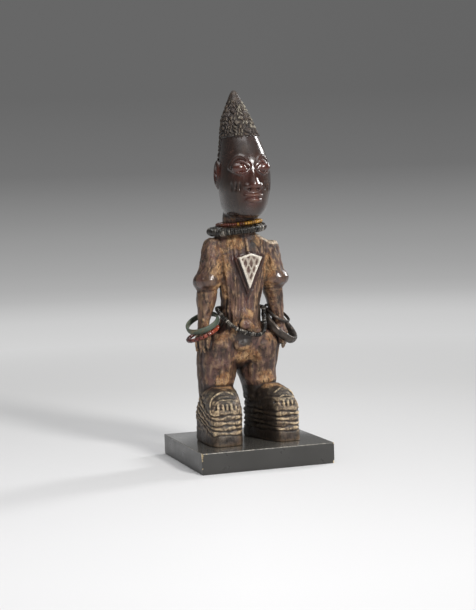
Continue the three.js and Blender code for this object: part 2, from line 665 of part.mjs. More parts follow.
// Lowers a worn piece until it all but meets what is under it
function dropOnto(piece, carriers) {
  piece.updateMatrixWorld(true);
  const down = shortestWay(piece, carriers, new THREE.Vector3(0, 0, -1));
  const up = carriers.map((carrier) => shortestWay(carrier, [piece], new THREE.Vector3(0, 0, 1)));
  piece.position.z -= Math.min(down, ...up) - 2 * wearGap;
  piece.updateMatrixWorld(true);
}

// The line of the waist string: round the trunk, level at the sides and dipping in front
function waistLoop(wood) {
  const caster = new THREE.Raycaster();
  const places = [];
  const count = 48;
  const clear = (waistDisc.diameter / 2) * share + 2.5 * wearGap;
  for (let i = 0; i < count; i++) {
    const angle = (i / count) * 2 * Math.PI;
    const turned = Math.atan2(Math.sin(angle - waistDip.at), Math.cos(angle - waistDip.at));
    const reach = turned < 0 ? waistDip.reachRight : waistDip.reachLeft;
    const away = Math.min(Math.abs(turned) / reach, 1);
    const level = waistDip.side - (waistDip.depth * (1 + Math.cos(Math.PI * away))) / 2;
    const axis = sectionAt(hipKeys, level);
    const from = new THREE.Vector3(axis[1] * share, axis[2] * share, soleLevel + level * share);
    const way = new THREE.Vector3(Math.cos(angle), Math.sin(angle), 0);
    caster.set(from, way);
    const skinAt = caster.intersectObject(wood, false)[0].distance;
    places.push(from.addScaledVector(way, skinAt + clear));
  }
  return new THREE.CatmullRomCurve3(places, true);
}

const paint = (color, roughness, metalness = 0, extra = {}) =>
  new THREE.MeshStandardMaterial({ color, roughness, metalness, ...extra });
const looks = {
  wood: paint(0x3a2519, 0.42, 0, { side: THREE.DoubleSide }),
  plinthPaint: paint(0x1b1a1b, 0.38),
  shell: paint(0x1f1a18, 0.35),
  seed: paint(0x8a5c22, 0.5),
  redGlass: paint(0x9c2f1e, 0.35),
  greenBronze: paint(0x59605a, 0.5, 0.8),
  darkBronze: paint(0x35302d, 0.38, 0.85),
};

function named(name, geometry, material) {
  const mesh = new THREE.Mesh(geometry, material);
  mesh.name = name;
  return mesh;
}

// The plinth: a painted square block with its edges eased
function plinthMesh() {
  const { width, depth, height, bevel } = plinth;
  const half = [width / 2 - bevel, depth / 2 - bevel];
  const signs = [[-1, -1], [1, -1], [1, 1], [-1, 1]];
  const outline = new THREE.Shape(signs.map(([a, b]) => new THREE.Vector2(a * half[0], b * half[1])));
  const block = new THREE.ExtrudeGeometry(outline, {
    depth: height - 2 * bevel,
    bevelEnabled: true,
    bevelThickness: bevel,
    bevelSize: bevel,
    bevelSegments: 1,
    steps: 1,
  });
  return named("plinth", block.translate(0, 0, bevel), looks.plinthPaint);
}

// A piece worn on the figure: placed over its seat, turned, then let down
function worn(name, geometry, material, seat, carriers) {
  const mesh = named(name, geometry.scale(share, share, share), material);
  mesh.position.set(seat.across * share, seat.back * share, soleLevel + seat.level * share);
  mesh.rotation.set(seat.pitch, seat.roll, 0);
  dropOnto(mesh, carriers);
  return mesh;
}

const whole = new THREE.Group();
const wood = named("figure", figureGeometry(), looks.wood);
wood.position.z = soleLevel;
wood.updateMatrixWorld(true);

// How far the neck and the wrists reach from their own middles where they carry something
const neckReach = sectionAt(neckKeys, seats.neckDisc.level)[3];
const wristReach = sectionAt(armKeys, seats.rightBangle.level)[3];

const discString = beadString(circleLoop(neckReach, neckDisc), neckDisc, 6);
const discs = worn("neck_disc_beads", discString, looks.shell, seats.neckDisc, [wood]);
const seedString = beadString(circleLoop(neckReach, neckSeed), neckSeed, 4);
const seeds = worn("neck_seed_beads", seedString, looks.seed, seats.neckSeed, [wood, discs]);
const waist = named("waist_disc_beads", beadString(waistLoop(wood), waistDisc, 5, share), looks.shell);

const redString = beadString(circleLoop(wristReach, redTube), redTube, 4);
const reds = worn("right_wrist_red_beads", redString, looks.redGlass, seats.redTube, [wood]);
const greenHoop = bangleHoop(wristReach, rightBangle, 6, 18);
const green = worn("right_wrist_bangle", greenHoop, looks.greenBronze, seats.rightBangle, [wood, reds]);
const heavyHoop = bangleHoop(wristReach, heavyBangle, 6, 18);
const heavy = worn("left_wrist_heavy_bangle", heavyHoop, looks.darkBronze, seats.heavyBangle, [wood]);
const thinHoop = bangleHoop(wristReach, thinBangle, 4, 16);
const thin = worn("left_wrist_thin_bangle", thinHoop, looks.darkBronze, seats.thinBangle, [wood, heavy]);

whole.add(plinthMesh(), wood, discs, seeds, waist, reds, green, heavy, thin);
export default whole;
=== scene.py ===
"""A Yoruba twin figure (ere ibeji) of carved wood on its plinth, with its beads and bangles.

The carving is cut again at a fine scale from the same key sections as the solid, as distances on a
grid, so that flutes, tufts, ridges and rims are real surface. Millimetres are used for the carving,
from the soles up and in 258ths of its height, and metres for every finished mesh.
"""

import math

import bmesh
import bpy
import numpy as np
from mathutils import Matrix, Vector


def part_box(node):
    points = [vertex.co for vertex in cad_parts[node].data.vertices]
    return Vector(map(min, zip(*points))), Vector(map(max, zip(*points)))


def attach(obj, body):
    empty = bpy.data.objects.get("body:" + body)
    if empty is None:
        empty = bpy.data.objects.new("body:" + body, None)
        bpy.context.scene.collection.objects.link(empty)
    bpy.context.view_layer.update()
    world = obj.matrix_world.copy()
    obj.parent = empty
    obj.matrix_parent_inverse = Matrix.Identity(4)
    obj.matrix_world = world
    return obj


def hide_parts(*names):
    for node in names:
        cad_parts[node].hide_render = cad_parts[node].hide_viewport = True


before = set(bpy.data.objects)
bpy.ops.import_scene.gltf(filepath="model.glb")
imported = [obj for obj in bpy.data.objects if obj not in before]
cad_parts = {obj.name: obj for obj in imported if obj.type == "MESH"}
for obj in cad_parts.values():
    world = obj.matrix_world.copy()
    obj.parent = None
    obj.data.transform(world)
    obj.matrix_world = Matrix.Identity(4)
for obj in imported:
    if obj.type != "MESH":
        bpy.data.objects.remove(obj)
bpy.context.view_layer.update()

import openvdb
from mathutils import Matrix, Vector

MM = 0.001
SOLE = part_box("plinth")[1].z
SHARE = (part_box("figure")[1].z - SOLE) / 258
CELL = 0.6  # the carving's grid, in millimetres
FAR = 5.0  # how far from the skin distances are kept
MOST_TRIANGLES = 190000
LEAST_EDGE = 0.001  # mm; shorter ones are closed up in the carving's skin
SIDES = (-1, 1)  # the figure's right and its left
TURN = 2 * math.pi

# Key sections: level, centre across, centre back, half width, depth before and behind the centre,
# squareness (2 is an ellipse). For a limb, across is measured out from the middle, and a leg's
# last number is how far it leans to the figure's right.
HIPS = [
    [51.2, -1.8, 13, 6, 6, 7, 2], [54, -1.2, 13, 14, 10.5, 11, 2], [58.5, -0.4, 12, 21.5, 15.2, 16, 2.1],
    [65, -0.3, 11, 27.5, 18, 18.5, 2.2], [72, -0.3, 10, 28.6, 20.2, 20, 2.2],
    [77.5, -0.4, 8, 24.6, 20.5, 18.5, 2.2], [82, -0.6, 6.2, 19.2, 19.4, 16, 2.2],
    [86.5, -0.8, 4.2, 16, 17.8, 14, 2.1], [91.5, -1.0, 3, 14.9, 16.8, 13, 2.1],
    [96, -1.0, 2.5, 14.8, 16, 12.5, 2.1],
]
CHEST = [
    [92, -1.0, 3, 14.2, 16, 12.3, 2.1], [96, -1.0, 2.5, 14.8, 16, 12.5, 2.1],
    [101, -0.8, 2, 15.0, 15.6, 12.5, 2.1], [109, -0.4, 1, 15.8, 15, 12.5, 2.2],
    [119, 0, 0, 18, 14.6, 13, 2.3], [130, 0.2, 0, 20.5, 14.8, 13.5, 2.3],
    [139, 0.3, 0, 22.5, 14.6, 13.5, 2.3], [145, 0.3, 0, 22.8, 13.8, 13.2, 2.2],
    [149, 0.3, 0, 21.2, 12.8, 12.6, 2.1], [152, 0.2, 0, 17.6, 11.6, 11.8, 2],
]
NECK = [
    [140, 0.2, 0, 15.2, 13.2, 11.6, 2], [149, 0.2, 0, 14.4, 12.8, 11.6, 2],
    [155, 0.3, -0.3, 13.4, 13.3, 13.3, 2], [166, 0.5, -1.2, 13.2, 13.1, 12.9, 2],
    [174, 0.8, -4, 12.4, 12, 11.6, 2],
]
ARM = [
    [74, 30.4, 0.6, 3.8, 5.4, 6, 2], [80, 29.9, 1.8, 4.3, 5.6, 5.8, 2], [85, 29.4, 2.8, 4.6, 5.8, 6, 2],
    [89, 28.9, 3, 4.8, 5.8, 5.8, 2], [93, 28.2, 3.2, 5.5, 6.2, 5.8, 2], [97, 27.7, 3.4, 6.1, 6.8, 6, 2.1],
    [105, 26.5, 3.8, 7.4, 8, 8, 2.2], [110.5, 25.9, 3, 7.7, 8.4, 8.4, 2.2],
    [113.2, 25.9, 2.5, 8.4, 9.4, 8.8, 2.1], [115.6, 26.3, 1.5, 10.1, 11.8, 9.8, 2],
    [119, 26.5, 0.5, 10.5, 12.2, 10.2, 2], [122, 25.8, 0.5, 10.1, 11.6, 10.2, 2],
    [125.5, 24.3, 0, 9.0, 10.6, 10.2, 2.1], [132, 22.8, 0, 8.6, 10.8, 10.4, 2.2],
    [140, 21.6, 0, 8.5, 10.4, 10.2, 2.3], [145, 20.9, 0, 8.0, 9.2, 9.2, 2.3],
    [148.5, 20.4, 0, 6.2, 7.2, 7.2, 2.1], [150.2, 20, 0, 3.6, 4.5, 4.5, 2],
]
LEG = [
    [28, 17.4, 9, 13.2, 17, 11, 2.2, 1.6], [36, 17.2, 11, 12.8, 15.4, 11, 2.2, 2.2],
    [43, 16.6, 12, 13.2, 16.2, 12.3, 2.2, 2.4], [50.6, 15.3, 12, 14.8, 17.5, 14.5, 2.2, 2.3],
    [57, 16.3, 11.5, 14.5, 18.8, 16.5, 2.2, 1.7], [64, 16, 11, 15, 19.5, 18, 2.2, 0.9],
    [72, 15.6, 10, 14.6, 19.5, 19, 2.2, 0.3], [80, 13.5, 8.5, 11.5, 16, 16, 2.1, 0],
]
FOOT = [
    [0, 23.4, -6.5, 9.9, 23.8, 24, 5.6], [1.2, 23.4, -6.5, 10.4, 24.3, 24.5, 5.6],
    [10, 23.4, -6.5, 10.4, 24.3, 24.5, 5], [21, 23.3, -6.5, 10.8, 24.4, 24.3, 4.5],
    [28, 23.1, -6.5, 10, 23.6, 24, 3.8], [33, 22.8, -6.4, 8.8, 21.4, 23.4, 3.2],
    [36.6, 22.5, -6.2, 7.2, 17.6, 22, 2.8], [39, 22.2, -6, 5.2, 12.6, 19, 2.5],
    [40.6, 21.9, -6, 3, 7.2, 14, 2.3],
]
HEAD = [
    [164.2, 1.4, -9, 6, 13, 7, 2], [165.4, 1.5, -8, 10.5, 18.5, 11, 2],
    [167.8, 1.5, -7, 13.8, 21.3, 15.6, 2], [171.6, 1.5, -7, 15.8, 22.4, 18, 2.1],
    [178, 1.6, -8, 17.4, 21.8, 19.8, 2.1], [184.8, 1.7, -8.7, 18.7, 21.3, 20.5, 2.1],
    [193, 1.8, -8.8, 19, 21, 21.6, 2.1], [201, 1.9, -8.6, 18.3, 20.6, 20.8, 2.1],
    [208, 1.8, -7.6, 17, 19.9, 19.2, 2.1], [215, 1.5, -6.2, 15.4, 18.2, 17, 2.1],
    [222.8, 0.9, -4.2, 13.7, 16, 14.6, 2], [229, 0.4, -2.6, 11.4, 13, 12, 2],
]
HAIR = [
    [182, 1.7, -8.4, 19.8, 21.8, 22.4, 2.1], [193, 1.8, -8.8, 20.6, 22.2, 23.2, 2.1],
    [201, 1.9, -8.6, 19.9, 21.8, 22.4, 2.1], [208, 1.8, -7.6, 18.6, 21.1, 20.9, 2.1],
    [215, 1.5, -6.2, 16.9, 19.4, 18.7, 2.1], [222.8, 0.9, -4.2, 15.2, 17.2, 16.2, 2],
    [230, 0.3, -1.9, 13.2, 15.0, 14.4, 2], [235.8, 0, -0.5, 11.7, 13.2, 13.6, 2],
    [241.8, 0, 0.8, 9.3, 10.4, 11, 2], [247.8, 0, 1.8, 6.6, 7.5, 7.8, 2],
    [252.8, -0.2, 2.4, 4.2, 4.7, 4.9, 2], [256.2, -0.3, 2.6, 2.5, 2.8, 2.9, 2],
    [258, -0.3, 2.7, 0.9, 1, 1, 2],
]
NOSE = [
    [183.4, 0, -27, 2.6, 2.2, 3, 2], [186, 0, -27, 5.0, 6.0, 3, 2], [188, 0, -27, 5.0, 6.6, 3, 2],
    [193, 0, -26.5, 3.6, 5.2, 3, 2], [199, 0, -26, 2.6, 3.6, 3, 2], [204.5, 0, -25, 2, 2.6, 3, 2],
]
FOOT_WIDER = {-1: 2, 1: -0.6}  # the right foot is the broader one
FOOT_OUTWARD = 0.35  # how much of that goes outwards

# The face, on the old rule of thirds from the hairline to the chin
MIDDLE = 1.8
HAIRLINE = 224
CHIN = 165.5
THIRD = (HAIRLINE - CHIN) / 3
BROW = HAIRLINE - THIRD
NOSE_BASE = CHIN + THIRD
EYE = BROW - 4.6
MOUTH = NOSE_BASE - THIRD / 3

# Shapes as distances: each is its lowest corner, its highest corner and a field over x, y, z


def sections(keys, levels):
    """A form's eased sections at many levels: one array for each column after the level."""
    rows = np.array(keys, float)
    place = np.clip(levels, rows[0, 0], rows[-1, 0])
    i = np.clip(np.searchsorted(rows[:, 0], place, side="right") - 1, 0, len(rows) - 2)
    low, high = rows[i], rows[i + 1]
    under, over = rows[np.maximum(i - 1, 0)], rows[np.minimum(i + 2, len(rows) - 1)]
    span = high[..., :1] - low[..., :1]
    t = (place[..., None] - low[..., :1]) / span
    leave = (high - under) / (high[..., :1] - under[..., :1]) * span
    arrive = (over - low) / (over[..., :1] - low[..., :1]) * span
    eased = low + (high - low) * t * t * (3 - 2 * t) + leave * t * (1 - t) ** 2
    eased = eased - arrive * t * t * (1 - t)
    return [eased[..., k] for k in range(1, rows.shape[1])]


def section_at(keys, level):
    return [float(v) for v in sections(keys, np.array(float(level)))]


def front_of(keys, across, level):
    """How far forward a form's skin lies at a place across it."""
    middle, back, wide, before, _, square = section_at(keys, level)
    return back - before * (1 - min(abs(across - middle) / wide, 1) ** square) ** (1 / square)


def to_side(keys, side):
    """A limb's key sections on one side, mirrored for the figure's right, with a leg's lean."""
    return [[row[0], row[1] * side - (row[7] if len(row) > 7 else 0), *row[2:7]] for row in keys]


def form(keys, relief=None, turn=0.0, more=1.0, bend=None):
    """A form through key sections; relief is outwards and bend moves x in the section."""

    def field(x, y, z):
        across, back, wide, before, behind, square = sections(keys, z)
        if bend:
            x = bend(x, y, across, back, wide, before, behind)
        dx, dy = x - across, y - back
        if turn:
            c, s = math.cos(turn), math.sin(turn)
            dx, dy = dx * c + dy * s, dy * c - dx * s
        u, v = dx / wide, dy / np.where(dy < 0, before, behind)
        size = (np.abs(u) ** square + np.abs(v) ** square) ** (1 / square)
        skin = np.hypot(dx, dy) * (1 - 1 / np.maximum(size, 1e-5))
        if relief:
            skin = skin - relief(z, np.arctan2(v, u), y, u, v)
        return np.maximum(skin, np.maximum(keys[0][0] - z, z - keys[-1][0]))

    rows = np.array(keys, float)
    low = [(rows[:, 1] - rows[:, 3]).min() - more, (rows[:, 2] - rows[:, 4]).min() - more, rows[0, 0]]
    high = [(rows[:, 1] + rows[:, 3]).max() + more, (rows[:, 2] + rows[:, 5]).max() + more, rows[-1, 0]]
    return np.array(low), np.array(high), field


def egg(place, half):
    """An egg at a place, with its three half sizes."""
    place, half = np.array(place, float), np.array(half, float)

    def field(x, y, z):
        parts = [(v - c) / h for v, c, h in zip((x, y, z), place, half)]
        near = np.sqrt(sum(p * p for p in parts))
        steep = np.sqrt(sum((p / h) ** 2 for p, h in zip(parts, half)))
        return near * (near - 1) / np.maximum(steep, 1e-6)

    return place - half, place + half, field


def rod(places, radius):
    """A round rod along straight stretches; radius is one number or one for each place."""
    places = np.array(places, float)
    radii = np.broadcast_to(np.array(radius, float), (len(places),))

    def field(x, y, z):
        least = np.inf
        for a, b, ra, rb in zip(places[:-1], places[1:], radii[:-1], radii[1:]):
            way = b - a
            t = ((x - a[0]) * way[0] + (y - a[1]) * way[1] + (z - a[2]) * way[2]) / max(way @ way, 1e-9)
            t = np.clip(t, 0, 1)
            gap = np.sqrt(sum((v - p - t * w) ** 2 for v, p, w in zip((x, y, z), a, way)))
            least = np.minimum(least, gap - ra - (rb - ra) * t)
        return least

    return places.min(0) - radii.max(), places.max(0) + radii.max(), field


def outline_inside(corners, x, z):
    """How far outside a flat outline in x and z a place is, below zero inside."""
    corners = np.array(corners, float)
    out = -np.inf
    for a, b in zip(corners, np.roll(corners, -1, 0)):
        way = (b - a) / np.linalg.norm(b - a)
        normal = np.array([way[1], -way[0]])
        if normal @ (corners.mean(0) - a) > 0:
            normal = -normal
        out = np.maximum(out, (x - a[0]) * normal[0] + (z - a[1]) * normal[1])
    return out


def plate(corners, front, back, extra=None):
    """A flat plate between two depths; extra is a further field that it is cut by."""
    corners = np.array(corners, float)

    def field(x, y, z):
        inside = np.maximum(outline_inside(corners, x, z), np.maximum(front - y, y - back))
        return np.maximum(inside, extra(x, y, z)) if extra else inside

    low, high = corners.min(0), corners.max(0)
    return np.array([low[0], front, low[1]]), np.array([high[0], back, high[1]]), field


def soft_least(a, b, soft):
    """The lesser of two distances, eased where they meet."""
    if soft == 0:
        return np.minimum(a, b)
    near = np.maximum(soft - np.abs(a - b), 0) / soft
    return np.minimum(a, b) - near * near * soft / 4


def ease(value, low, high):
    """0 below low, 1 above high and eased between."""
    t = np.clip((value - low) / (high - low), 0, 1)
    return t * t * (3 - 2 * t)


def band(value, low, risen, falling, high):
    """1 between two inner levels, eased to 0 at the outer ones."""
    return ease(value, low, risen) * (1 - ease(value, falling, high))


class Carving:
    """A block being carved: distances on an even grid, below zero in the wood."""

    def __init__(self, low, high, cell):
        self.cell = cell
        self.low = np.array(low, float)
        counts = np.ceil((np.array(high) - self.low) / cell).astype(int) + 1
        self.axes = [self.low[k] + cell * np.arange(counts[k]) for k in range(3)]
        self.wood = np.full(counts, FAR, np.float32)

    def add(self, shape, soft=0.0, sign=1):
        low, high, field = shape
        cells = tuple(slice(*np.searchsorted(axis, [a - FAR, b + FAR]))
                      for axis, a, b in zip(self.axes, low, high))
        places = np.ix_(*[axis[c] for axis, c in zip(self.axes, cells)])
        new = field(*places).astype(np.float32)
        self.wood[cells] = sign * soft_least(sign * self.wood[cells], new, soft)

    def cut(self, shape, soft=0.0):
        self.add(shape, soft, -1)

    def values_at(self, grid, places):
        """A grid's values at places, read between its cells."""
        at = (places - self.low) / self.cell
        base = np.clip(np.floor(at).astype(int), 0, np.array(grid.shape) - 2)
        share = at - base
        total = np.zeros(len(places))
        for corner in np.ndindex(2, 2, 2):
            weight = np.prod(np.where(corner, share, 1 - share), axis=1)
            total += weight * grid[tuple((base + corner).T)]
        return total


def blurred(grid, reach):
    """A grid averaged over a box of a given reach in cells, twice, for an even blur."""
    for _ in range(2):
        for axis in range(3):
            padded = [np.take(grid, [0] * (reach + 1), axis), grid, np.take(grid, [-1] * reach, axis)]
            sums = np.cumsum(np.concatenate(padded, axis), axis, dtype=np.float64)
            ahead = np.take(sums, range(2 * reach + 1, sums.shape[axis]), axis)
            behind = np.take(sums, range(0, sums.shape[axis] - 2 * reach - 1), axis)
            grid = ((ahead - behind) / (2 * reach + 1)).astype(np.float32)
    return grid


def lump_noise(axes, sizes, seed):
    """Soft random lumps of about a given size each way over the grid, from -1 to 1."""
    counts = [int((axis[-1] - axis[0]) / size) + 3 for axis, size in zip(axes, sizes)]
    grid = np.random.default_rng(seed).uniform(-1, 1, counts).astype(np.float32)
    for k, (axis, size) in enumerate(zip(axes, sizes)):
        at = (axis - axis[0]) / size
        base = np.floor(at).astype(int)
        t = np.expand_dims(ease(at - base, 0, 1).astype(np.float32), tuple({0, 1, 2} - {k}))
        grid = np.take(grid, base, k) * (1 - t) + np.take(grid, base + 1, k) * t
    return grid


# How the surface is carved


def flutes(count, depth, low, high, seed, lean=0.0):
    """Long chisel channels with sharp ridges between them; lean is flutes to the millimetre."""
    sway = np.random.default_rng(seed).uniform(-3, 3, 6)

    def relief(z, angle, *_):
        phase = angle * count / TURN + lean * z
        phase = phase + 0.32 * np.sin(5 * angle + sway[0]) + 0.2 * np.sin(11 * angle + sway[1])
        phase = phase + 0.16 * np.sin(z / 13 + 3 * angle + sway[2])
        phase = phase + 0.06 * np.sin(z / 3.7 + 5 * angle + sway[3])
        deep = 0.62 + 0.38 * np.sin(4 * angle + z / 17 + sway[4]) * np.sin(7 * angle - z / 29 + sway[5])
        return -depth * deep * band(z, low, low + 9, high - 4, high) * np.abs(np.cos(math.pi * phase)) ** 0.7

    return relief


TUFTS = {"around": 24, "height": 6.4, "depth": 1.5, "flare": 0.5, "tip": 250}
HAIR_EDGE = [[-4, HAIRLINE - 0.6], [0.5, 212], [5, 202], [11, 192], [30, 186]]


def tufts(z, angle, *_):
    """Rows of small tufts made by cuts that cross, each standing out a little at its lower end."""
    wave = 0.45 * np.sin(3 * angle + z / 4) + 0.3 * np.sin(8 * angle - z / 2.3)
    turn, rise = angle * TUFTS["around"] / TURN, z / TUFTS["height"]
    a, b = turn + rise + wave, turn - rise + wave
    a, b = a - np.floor(a) - 0.5, b - np.floor(b) - 0.5
    groove = ease(2 * np.maximum(np.abs(a), np.abs(b)), 0.5, 0.98)
    fade = 1 - ease(z, TUFTS["tip"] - 3, TUFTS["tip"] + 2)
    return fade * (TUFTS["flare"] * (b - a) * (1 - groove) - TUFTS["depth"] * groove)


def hair():
    """The tall pointed hair, level over the brow and low at the nape."""
    low, high, mass = form(HAIR, tufts)
    back, level = np.array(HAIR_EDGE, float).T

    def field(x, y, z):
        return np.maximum(mass(x, y, z), 0.6 * (np.interp(y, back, level) - z))

    return low, high, field


def carve_head(block):
    block.add(form(NECK, flutes(26, 0.7, 140, 164, 5)), 1.5)
    block.add(form(HEAD), 1.0)
    level = (BROW + NOSE_BASE) / 2 + 1.2
    for side in SIDES:
        across = MIDDLE + side * 18.8
        block.add(egg([across, -4.4, level], [2.7, 5.2, 10.8]), 0.8)
        block.cut(egg([across + side * 2.7, -5.0, level + 0.8], [1.6, 3.2, 7.6]), 0.4)
        curl = [[across + side * 1.5, -4.6 + 2 * math.cos(t), level + 3 + 3 * math.sin(t)]
                for t in np.linspace(-2.2, 1.6, 7)]
        block.add(rod(curl, 0.5), 0.4)
    block.add(hair(), 0.4)


EYES = {"apart": 8.6, "back": -25.2, "half": [6, 3.9, 3.9], "lid": 6.6, "bulge": 1.5}
LIPS = [[1.6, 1.4, [7.2, 3.4, 1.8]], [1.9, -2, [6.4, 3.6, 2.1]]]  # how far in, level and half sizes


def lid_line(side, lift, out=0.0):
    """The line of one eyelid, bowed up or down and lying on the head at its ends."""
    line = []
    for along in np.linspace(-1, 1, 13):
        bow = 1 - along * along
        across = MIDDLE + side * EYES["apart"] + along * (EYES["lid"] + out)
        level = EYE + (lift + math.copysign(out, lift)) * bow
        line.append([across, front_of(HEAD, across, level) + 0.4 - EYES["bulge"] * bow, level])
    return line


def carve_face(block):
    block.add(form([[level, MIDDLE, *rest] for level, _, *rest in NOSE]), 1.4)
    front = front_of(HEAD, MIDDLE, MOUTH)
    for back, lift, half in LIPS:
        block.add(egg([MIDDLE, front + back, MOUTH + lift], half), 0.6)
    parting = [[MIDDLE + 7.2 * u, front - 1.3 + 2.2 * u * u, MOUTH - 0.2] for u in np.linspace(-1, 1, 9)]
    block.cut(rod(parting, 0.5), 0.3)
    for side in SIDES:
        block.add(egg([MIDDLE + side * 4.7, -28.3, NOSE_BASE + 1.6], [2.5, 3.1, 2.4]), 0.7)
        block.cut(egg([MIDDLE + side * 3.1, -30, NOSE_BASE - 0.8], [1.2, 1.5, 1.1]), 0.3)
        block.add(egg([MIDDLE + side * EYES["apart"], EYES["back"], EYE], EYES["half"]), 0.4)
        for lift in (4.4, -4.4):
            block.add(rod(lid_line(side, lift), 0.9), 0.3)
            block.cut(rod(lid_line(side, lift, -1.35), 0.34), 0.2)
        brow_line = [[x, front_of(HEAD, x, z + 1.2), z + 1.2] for x, _, z in lid_line(side, 7.3)]
        block.add(rod(brow_line, 0.9), 1.2)
        for k in range(3):
            across, level = MIDDLE + side * (9.6 + 2.4 * k), NOSE_BASE + 1.4
            block.cut(egg([across, front_of(HEAD, across, level), level], [0.5, 1.1, 3.6]), 0.3)


NAVEL = [-2.6, -13.4, 86.2]


def carve_trunk(block):
    channels = flutes(34, 1.2, 78, 150, 3)
    block.add(form(HIPS, channels), 0)
    block.add(form(CHEST, channels), 2.0)
    block.add(egg([-3.2, -8.4, 71.8], [7.6, 4.4, 5.3]), 0.6)
    block.add(egg(NAVEL, [4.6, 4.4, 4.1]), 0.5)
    across, _, level = NAVEL
    ring = [[across + 4.7 * math.cos(t), -15.9, level + 4.2 * math.sin(t)] for t in np.linspace(0, TURN, 17)]
    block.cut(rod(ring, 0.6), 0.4)
    block.cut(egg([across - 0.4, -18, level - 0.6], [1.4, 1.3, 1.2]), 0.3)


PENDANT_BASE = [[-9.8, 134.6], [2, 137.4], [13, 134.6], [-0.4, 107.6]]
PENDANT = [[-7.2, 135.4], [2.2, 138], [10.6, 135.2], [0.6, 112.6]]
FRONTS = {"base": -16, "floor": -17.1, "bars": -17.8, "rim": -18.1, "root": -12}
BARS = {"gap": 4.4, "width": 1.2, "slant": 0.42, "low": 110, "rim": 1.4}
CORD = [[0.2, -13.4, 148], [0.5, -14.9, 143], [1.2, -15.6, 136]]
CHEST_GROOVE = [[7.6, -12.6, 150.5], [9.6, -13.4, 142.4], [12.2, -13.4, 137.2], [13.6, -12.6, 130.6]]
PENDANT_EDGE = [[-9.6, -13.8, 131.4], [-6.2, -14.8, 119.6], [-2.4, -15.2, 109.2]]


def lattice(x, y, z):
    """Crossing slanted bars, as distances in x and z."""
    bars = np.inf
    for lean in SIDES:
        line = (x - lean * BARS["slant"] * (z - BARS["low"])) / BARS["gap"]
        off = np.abs(line - np.round(line)) * BARS["gap"] / math.hypot(1, BARS["slant"]) - BARS["width"] / 2
        bars = np.minimum(bars, off)
    return bars


def pendant_rim(x, y, z):
    return -outline_inside(PENDANT, x, z) - BARS["rim"]


def carve_pendant(block):
    layers = ((PENDANT_BASE, "base", None, 0.5), (PENDANT, "floor", None, 0.3),
              (PENDANT, "bars", lattice, 0.35), (PENDANT, "rim", pendant_rim, 0.4))
    for outline, front, cut_by, soft in layers:
        block.add(plate(outline, FRONTS[front], FRONTS["root"], cut_by), soft)
    middle = np.mean(PENDANT, 0)
    corners = [middle + (np.array(corner) - middle) * 1.1 for corner in PENDANT]
    corners = [[across, FRONTS["base"] - 0.1, level] for across, level in corners]
    for k in range(4):
        block.cut(rod([corners[k], corners[(k + 1) % 4]], 1.1), 0.25)
    block.add(rod(CORD, 1.1), 0.5)
    block.cut(rod(CHEST_GROOVE, [0.9, 1.2, 1.2, 0.6]), 0.5)
    block.cut(rod(PENDANT_EDGE, 0.7), 0.3)


def carve_arm(block, side):
    cut = flutes(18, 0.8, 118, 150, 11 + side, 0.13 * side)

    def relief(z, angle, *_):
        planes = 0.3 * np.abs(np.cos(3.5 * angle + side)) * (1 - ease(z, 108, 112))
        groove = 0.7 * np.exp(-(((z - 111.4) / 0.9) ** 2))
        return cut(z, angle) - planes - groove

    block.add(form(to_side(ARM, side), relief), 1.6)


HAND = {"out": 30.6, "back": 0.4, "long": 6.5, "thick": 3.3, "wrist": 84, "turn": 0.62}
FINGERTIPS = {-1: 64.6, 1: 65}
FINGER = {"count": 4, "pitch": 3.3, "radius": 1.5, "length": 14, "stand": 2.1, "longest": 1.3}
WEB = {-1: 77.2, 1: 82.9}  # the middle of the wood left between each wrist and the body


def carve_hand(block, side):
    out, back, long, thick, wrist, turn = HAND.values()
    count, pitch, r, length, stand, longest = FINGER.values()
    tip = FINGERTIPS[side]
    block.add(egg([side * 20.5, 4, WEB[side]], [5.5, 6, 6]), 1.0)
    palm = [
        [tip + 4, out - 0.6, back, 2.4, long - 1, long - 1, 2.4],
        [tip + 10, out, back, thick, long, long, 2.4],
        [wrist, out - 1.4, back + 1.6, thick + 0.6, long - 0.8, long - 0.8, 2.2],
    ]
    block.add(form(to_side(palm, side), turn=-side * turn, more=3), 0.8)
    for k in range(count):
        along = (k - (count - 1) / 2) * pitch
        x = out + stand * math.cos(turn) + along * math.sin(turn)
        y = back - stand * math.sin(turn) + along * math.cos(turn)
        low = tip + abs(k - longest)
        line = [[side * (x - 0.6), y + 0.4, low + r], [side * x, y, low + 3.4 * r],
                [side * x, y, low + length - 2 * r], [side * (x - 0.9), y + 0.5, low + length]]
        block.add(rod(line, [0.8 * r, r, r, 0.7 * r]), 0.25)


HEEL_SPREAD = 12.6
RIDGES = {"count": 4, "low": 7.7, "high": 22.5, "depth": 1.3, "slope": 0.3}
NICHE = {"low": 32.2, "high": 37, "depth": 1.4}
TOES = {"count": 5, "pitch": 3.3, "low": 26, "high": 30, "radius": 1.15}
# The foot's two rims: first angle, stops, level, rise, roundness, reach, how far in, radius
RIMS = [[-0.25, 22, 28.6, 9.8, 0.5, 0.93, 0.25, 0.9], [0.15, 12, 31, 2.6, 1, 0.66, 0.7, 0.8]]


def foot_keys(side):
    more = FOOT_WIDER[side]
    shift = more * FOOT_OUTWARD
    return to_side([[row[0], row[1] + shift, row[2], row[3] + more - shift, *row[4:]] for row in FOOT], side)


